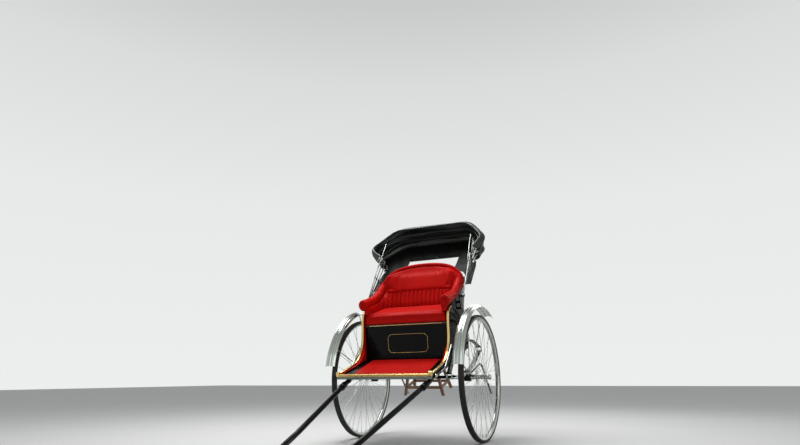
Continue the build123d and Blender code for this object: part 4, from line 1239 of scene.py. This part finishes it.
class RICKSHAW_OT_trims(bpy.types.Operator):
    """Make the gold bar with its caps, the bead under the seat and the framed blank plate"""
    bl_idname = "rickshaw.trims"
    bl_label = "Gold trims"

    def execute(self, context):
        bar = self.front_bar()
        parked_piece(bar, "gold_trim", smooth=40)
        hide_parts("front_bar")
        bead = tube("seat_bead", [(x, -0.1655, 0.5185) for x in (-0.352, 0.0, 0.352)], 0.0045)
        parked_piece(bead, "gold_trim")
        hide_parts("gold_seat_trim")
        frame = tube("plate_frame", self.plate_outline(0.190, 0.078), 0.0016, closed=True, sides=2)
        parked_piece(frame, "gold_trim")
        caps = self.caps()
        parked_piece(caps, "gold_trim", smooth=40)
        return {"FINISHED"}

    def front_bar(self):
        """A moulded bar: a rounded top bead, a cove and a smaller lower bead."""
        profile = [(-0.7003, 0.2226), (-0.7005, 0.2262), (-0.6985, 0.2276), (-0.6925, 0.2284),
                   (-0.6925, 0.2312), (-0.6990, 0.2320), (-0.7003, 0.2340), (-0.7003, 0.2360),
                   (-0.6990, 0.2385), (-0.6960, 0.2400), (-0.6900, 0.2400), (-0.6870, 0.2385),
                   (-0.6868, 0.2226)]
        ends = [[(x, y, z) for y, z in profile] for x in (-0.423, 0.423)]
        return ribbed_bar("moulded_front_bar", [list(pair) for pair in zip(*ends)])

    def kick_face(self, height):
        """The panel's front face under the seat at a height, in y."""
        return -0.206 + 0.044 * (height - 0.2605) / 0.250

    def plate_outline(self, half_x, half_z):
        """A rounded frame whose corners are notched inwards."""
        notch = 0.020
        middle = 0.360
        quarter = [(half_x, 0.0), (half_x, half_z - notch), (half_x - 0.4 * notch, half_z - notch)]
        quarter += [(half_x - notch, half_z - 0.4 * notch), (half_x - notch, half_z), (0.0, half_z)]
        ring = quarter + [(-x, z) for x, z in reversed(quarter[:-1])]
        ring += [(x, -z) for x, z in reversed(ring[1:-1])]
        return [(x + 0.018, self.kick_face(middle + z) - 0.0010, middle + z) for x, z in ring]

    def caps(self):
        """A small gold scroll over each front corner of the tub."""
        bpy.ops.object.select_all(action="DESELECT")
        bpy.ops.mesh.primitive_cylinder_add(vertices=32, radius=0.0150, depth=0.0300,
                                            location=(0.4110, -0.6900, 0.2380),
                                            rotation=(0.0, math.radians(90.0), 0.0))
        cap = bpy.context.object
        cap.name = "corner_scrolls"
        bpy.ops.object.transform_apply(location=True, rotation=True, scale=True)
        for vertex in cap.data.vertices:
            turn = math.atan2(vertex.co.z - 0.2380, vertex.co.y + 0.6900)
            vertex.co.z = 0.2380 + (vertex.co.z - 0.2380) * 1.35
            vertex.co.x += 0.0020 * math.cos(turn) * (vertex.co.x > 0.42)
        modified(cap, "BEVEL", width=0.0030, segments=3, limit_method="ANGLE", angle_limit=0.7)
        modified(cap, "MIRROR", use_bisect_axis=(False, False, False))
        return cap


class RICKSHAW_OT_floor_mat(bpy.types.Operator):
    """Lay the red mat with its bound edge on the floor"""
    bl_idname = "rickshaw.floor_mat"
    bl_label = "Floor mat"

    def execute(self, context):
        plain = level_copy("plain_mat", "floor_mat")
        low = [min(vertex.co[axis] for vertex in plain.data.vertices) for axis in range(3)]
        high = [max(vertex.co[axis] for vertex in plain.data.vertices) for axis in range(3)]
        bpy.data.objects.remove(plain)
        rows = []
        across, along = 72, 44
        for j in range(along + 1):
            y = low[1] + (high[1] - low[1]) * j / along
            row = []
            for i in range(across + 1):
                x = low[0] + (high[0] - low[0]) * i / across
                edge = min(x - low[0], high[0] - x, y - low[1], high[1] - y)
                crown = high[2] - 0.0030 + 0.0012 * smooth_step(edge / 0.02)
                crown += 0.0010 * noise.noise(Vector((x * 11.0, y * 9.0, 1.0))) * smooth_step(edge / 0.05)
                row.append((x + self.askew(y), y, crown))
            rows.append(row)
        mat = cloth_grid("soft_mat", rows, 0.0032)
        shift = low[2] + 0.0002 - min(vertex.co.z for vertex in mat.data.vertices)
        for vertex in mat.data.vertices:
            vertex.co.z += max(shift, 0.0)
        parked_piece(mat, "red_cloth", smooth=60)
        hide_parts("floor_mat")
        inset = 0.0035
        x, front, back = high[0] - inset, low[1] + inset, high[1] - inset
        corners = [(x, front), (x, back), (-x, back), (-x, front)]
        ring = []
        for start, stop in zip(corners, corners[1:] + corners[:1]):
            for share in (0.03, 0.5, 0.97):
                place = Vector(start).lerp(Vector(stop), share)
                ring.append((place.x + self.askew(place.y), place.y, high[2] - 0.0025))
        binding = tube("mat_binding", ring, 0.0032, closed=True, sides=2)
        parked_piece(binding, "red_piping")
        return {"FINISHED"}

    def askew(self, y):
        """The mat lies a little turned, with its front edge over to the left."""
        return 0.030 * smooth_step((-0.230 - y) / 0.42)


class RICKSHAW_OT_linings(bpy.types.Operator):
    """Pad the red linings of the side panels"""
    bl_idname = "rickshaw.linings"
    bl_label = "Side linings"

    def execute(self, context):
        lining = level_copy("soft_linings", "side_linings")
        modified(lining, "REMESH", mode="VOXEL", voxel_size=0.0045)
        inner = min(abs(vertex.co.x) for vertex in lining.data.vertices)
        rim = [vertex for vertex in lining.data.vertices if abs(vertex.normal.x) < 0.6]
        tree = KDTree(len(rim))
        for index, vertex in enumerate(rim):
            tree.insert((vertex.co.x, vertex.co.y, vertex.co.z), index)
        tree.balance()
        for vertex in lining.data.vertices:
            place = vertex.co
            if abs(place.x) > inner + 0.0022:
                continue
            spot, index, gap = tree.find(place)
            ahead = smooth_step((self.kick_line(place.z) - 0.012 - place.y) / 0.03)
            free = ahead * smooth_step((0.500 - place.z) / 0.02)
            toe = 1.0 + 0.5 * smooth_step((-0.330 - place.y) / 0.20)
            swell = 0.019 * toe * free * smooth_step(gap / 0.012)
            side = math.copysign(3.0, place.x)
            wrinkle = 0.0012 * noise.noise(Vector((place.y * 24.0, place.z * 24.0, side)))
            place.x -= math.copysign(max(0.0, swell + wrinkle * free), place.x)
        modified(lining, "SMOOTH", factor=0.5, iterations=3)
        parked_piece(lining, "red_cloth", smooth=50)
        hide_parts("side_linings")
        return {"FINISHED"}

    def kick_line(self, height):
        return -0.230 + 0.044 * (height - 0.2225) / 0.288


# Irons of the hood

HEADS = [
    # reach from the pins, radius, half thickness
    (0.0, 0.0150, 0.0029),
    (0.300, 0.0125, 0.0030),
    (0.300, 0.0068, 0.0040),
    (0.272, 0.0052, 0.0036),
    (0.328, 0.0052, 0.0036),
    (0.475, 0.0052, 0.0036),
]
IRON_SECTION = [(1, 0.45), (0.8, 1), (-0.8, 1), (-1, 0.45), (-1, -0.45), (-0.8, -1), (0.8, -1), (1, -0.45)]


class RICKSHAW_OT_hood_irons(bpy.types.Operator):
    """Forge the irons, chrome on the front bow and a darkened copy of the chrome on the other bows as painted
    shade, with eyes on the pins, knuckles, a twist and a clasp on each bow
    """
    bl_idname = "rickshaw.hood_irons"
    bl_label = "Hood irons"

    def execute(self, context):
        for layer, (name, angle, pull, tips) in enumerate(BOWS):
            middle = IRON_X + IRON_STEP * layer
            pieces = [self.bar(name, middle, angle)]
            for reach, radius, half in HEADS:
                pieces.append(self.turned_pin(middle, angle, reach, radius, half))
            if name == "front":
                pieces.append(self.brace(middle, angle))
            irons = joined(pieces)
            modified(irons, "MIRROR")
            irons.name = "forged_irons_" + name
            # Only the front bow's irons get the chrome; the others get its darkened copy as painted shade.
            finish = "chrome" if name == "front" else "shaded_chrome"
            parked_piece(irons, finish, "hood_" + name, smooth=50)
            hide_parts("hood_irons_" + name)
        return {"FINISHED"}

    def bar(self, name, middle, angle):
        """The long bar with eased corners: flat at both ends and twisted above the knuckle."""
        rows = [[] for side in range(8)]
        steps = 110
        for step in range(steps + 1):
            reach = 0.014 + (0.498 - 0.014) * step / steps
            twist = math.radians(540.0) * smooth_step((reach - 0.345) / 0.110)
            waist = 0.12 * math.exp(-((reach - 0.40) / 0.06) ** 2)
            narrow = 1.0 - 0.30 * smooth_step((reach - 0.02) / 0.20) - waist
            wide, thick = 0.0082 * narrow, 0.0027
            for side, (a, b) in enumerate(IRON_SECTION):
                up, out = a * wide, b * thick
                across = out * math.cos(twist) - up * math.sin(twist)
                above = out * math.sin(twist) + up * math.cos(twist)
                shrink = 1.0 if abs(across) < 0.0030 else 0.0030 / abs(across)
                rows[side].append(on_bow(middle + across * shrink, reach, angle, above))
        return ribbed_bar("iron_" + name, rows)

    def turned_pin(self, middle, angle, reach, radius, half):
        """A round head with eased edges, square to the iron."""
        turn = Matrix.Rotation(math.radians(90.0), 4, "Y")
        bpy.ops.object.select_all(action="DESELECT")
        bpy.ops.mesh.primitive_cylinder_add(vertices=24, radius=radius, depth=2.0 * half)
        head = bpy.context.object
        modified(head, "BEVEL", width=min(0.0012, 0.4 * half), segments=2,
                 limit_method="ANGLE", angle_limit=0.7)
        head.data.transform(Matrix.Translation(on_bow(middle, reach, angle)) @ turn)
        return head

    def brace(self, middle, angle):
        """The thin rod that runs on inside the front bow to its cloth."""
        route = [(0.0, 0.30, 0.0), (0.008, 0.40, 0.8), (0.016, 0.52, 1.0),
                 (0.020, 0.66, 1.0), (0.020, 0.735, 0.9)]
        line = [on_bow(middle - inward, reach, angle, 0.010 * rise) for inward, reach, rise in route]
        return tube("brace", line, 0.0032, sides=2)


# Stage


class RICKSHAW_OT_stage(bpy.types.Operator):
    """Set the floor, the soft lights and the camera"""
    bl_idname = "rickshaw.stage"
    bl_label = "Stage"

    def execute(self, context):
        chosen = settings()
        bpy.ops.object.select_all(action="DESELECT")
        bpy.ops.mesh.primitive_plane_add(size=60.0, location=(0.0, 0.0, 0.0))
        floor = context.object
        floor.name = "studio_floor"
        floor.data.materials.append(floor_finish("studio_floor", chosen.floor))
        self.add_lamp("key", (-0.9, 0.5, 4.8), 2.2, 160.0)
        self.add_lamp("fill", (4.2, -2.6, 2.4), 2.0, 16.0)
        self.add_lamp("back", (0.8, 4.2, 4.0), 2.6, 40.0)
        self.add_world(context)
        self.add_camera(context, chosen)
        return {"FINISHED"}

    def add_lamp(self, name, place, size, watts):
        bpy.ops.object.light_add(type="AREA", location=place)
        lamp = bpy.context.object
        lamp.name = name
        lamp.data.size = size
        lamp.data.energy = watts
        aim = Vector((0.0, 0.3, 0.9)) - Vector(place)
        lamp.rotation_euler = aim.to_track_quat("-Z", "Y").to_euler()

    def add_world(self, context):
        world = bpy.data.worlds.new("studio")
        context.scene.world = world
        world.use_nodes = True
        tree = world.node_tree
        lit = tree.nodes["Background"]
        lit.inputs["Color"].default_value = (0.93, 0.95, 0.97, 1.0)
        lit.inputs["Strength"].default_value = 0.42
        seen = new_node(tree, "ShaderNodeBackground", {"Strength": 1.0})
        place = new_node(tree, "ShaderNodeTexCoord")
        split = new_node(tree, "ShaderNodeSeparateXYZ")
        ramp = new_node(tree, "ShaderNodeValToRGB")
        stops = [(0.0, 0.86), (0.30, 0.82), (0.50, 0.72), (0.70, 0.50), (1.0, 0.45)]
        while len(ramp.color_ramp.elements) < len(stops):
            ramp.color_ramp.elements.new(0.5)
        for element, (position, level) in zip(ramp.color_ramp.elements, stops):
            element.position = position
            element.color = (level * 0.97, level, level * 0.98, 1.0)
        path = new_node(tree, "ShaderNodeLightPath")
        mirrored = new_node(tree, "ShaderNodeMath", operation="MAXIMUM")
        rays = new_node(tree, "ShaderNodeMath", operation="MAXIMUM")
        mix = new_node(tree, "ShaderNodeMixShader")
        wire(tree, (place, "Generated", split, 0), (split, "Z", ramp, "Fac"),
             (ramp, "Color", seen, "Color"), (path, "Is Glossy Ray", mirrored, 0),
             (path, "Is Transmission Ray", mirrored, 1), (path, "Is Camera Ray", rays, 0),
             (mirrored, 0, rays, 1), (rays, 0, mix, 0), (lit, 0, mix, 1), (seen, 0, mix, 2))
        tree.links.new(mix.outputs[0], tree.nodes["World Output"].inputs["Surface"])

    def add_camera(self, context, chosen):
        yaw = math.radians(25.6)
        pitch = math.radians(15.95)
        roll = math.radians(-0.33)
        level = Vector((math.cos(yaw), math.sin(yaw), 0.0))
        ahead = Vector((-math.sin(yaw) * math.cos(pitch), math.cos(yaw) * math.cos(pitch), math.sin(pitch)))
        upward = level.cross(ahead)
        right = level * math.cos(roll) + upward * math.sin(roll)
        top = upward * math.cos(roll) - level * math.sin(roll)
        bpy.ops.object.camera_add()
        camera = context.object
        turn = Matrix((right, top, -ahead)).transposed().to_4x4()
        camera.matrix_world = Matrix.Translation((2.061, AXLE.y - 4.693, 0.53)) @ turn
        camera.data.sensor_width = 36.0
        camera.data.lens = chosen.lens
        context.scene.camera = camera


OPERATORS = [
    RICKSHAW_OT_finishes,
    RICKSHAW_OT_cushion,
    RICKSHAW_OT_seat_back,
    RICKSHAW_OT_arms,
    RICKSHAW_OT_hood_bows,
    RICKSHAW_OT_hood_cloth,
    RICKSHAW_OT_hood_curtain,
    RICKSHAW_OT_softened,
    RICKSHAW_OT_wheels,
    RICKSHAW_OT_fenders,
    RICKSHAW_OT_trims,
    RICKSHAW_OT_floor_mat,
    RICKSHAW_OT_linings,
    RICKSHAW_OT_hood_irons,
    RICKSHAW_OT_stage,
]


class RICKSHAW_PT_panel(bpy.types.Panel):
    """Lists the dressing steps of the rickshaw"""
    bl_idname = "RICKSHAW_PT_panel"
    bl_label = "Rickshaw"
    bl_space_type = "VIEW_3D"
    bl_region_type = "UI"
    bl_category = "Rickshaw"

    def draw(self, context):
        for operator in OPERATORS:
            self.layout.operator(operator.bl_idname)


def register():
    for item in [RickshawSettings] + OPERATORS + [RICKSHAW_PT_panel]:
        bpy.utils.register_class(item)
    bpy.types.Scene.rickshaw = bpy.props.PointerProperty(type=RickshawSettings)


def unregister():
    del bpy.types.Scene.rickshaw
    for item in [RICKSHAW_PT_panel] + OPERATORS[::-1] + [RickshawSettings]:
        bpy.utils.unregister_class(item)


def main():
    register()
    bpy.context.scene.view_settings.view_transform = "Standard"
    bpy.ops.rickshaw.finishes()
    bpy.ops.rickshaw.cushion()
    bpy.ops.rickshaw.seat_back()
    bpy.ops.rickshaw.arms()
    bpy.ops.rickshaw.hood_bows()
    bpy.ops.rickshaw.hood_cloth()
    bpy.ops.rickshaw.hood_curtain()
    bpy.ops.rickshaw.softened()
    bpy.ops.rickshaw.wheels()
    bpy.ops.rickshaw.fenders()
    bpy.ops.rickshaw.trims()
    bpy.ops.rickshaw.floor_mat()
    bpy.ops.rickshaw.linings()
    bpy.ops.rickshaw.hood_irons()
    bpy.ops.rickshaw.stage()


if __name__ == "__main__":
    main()
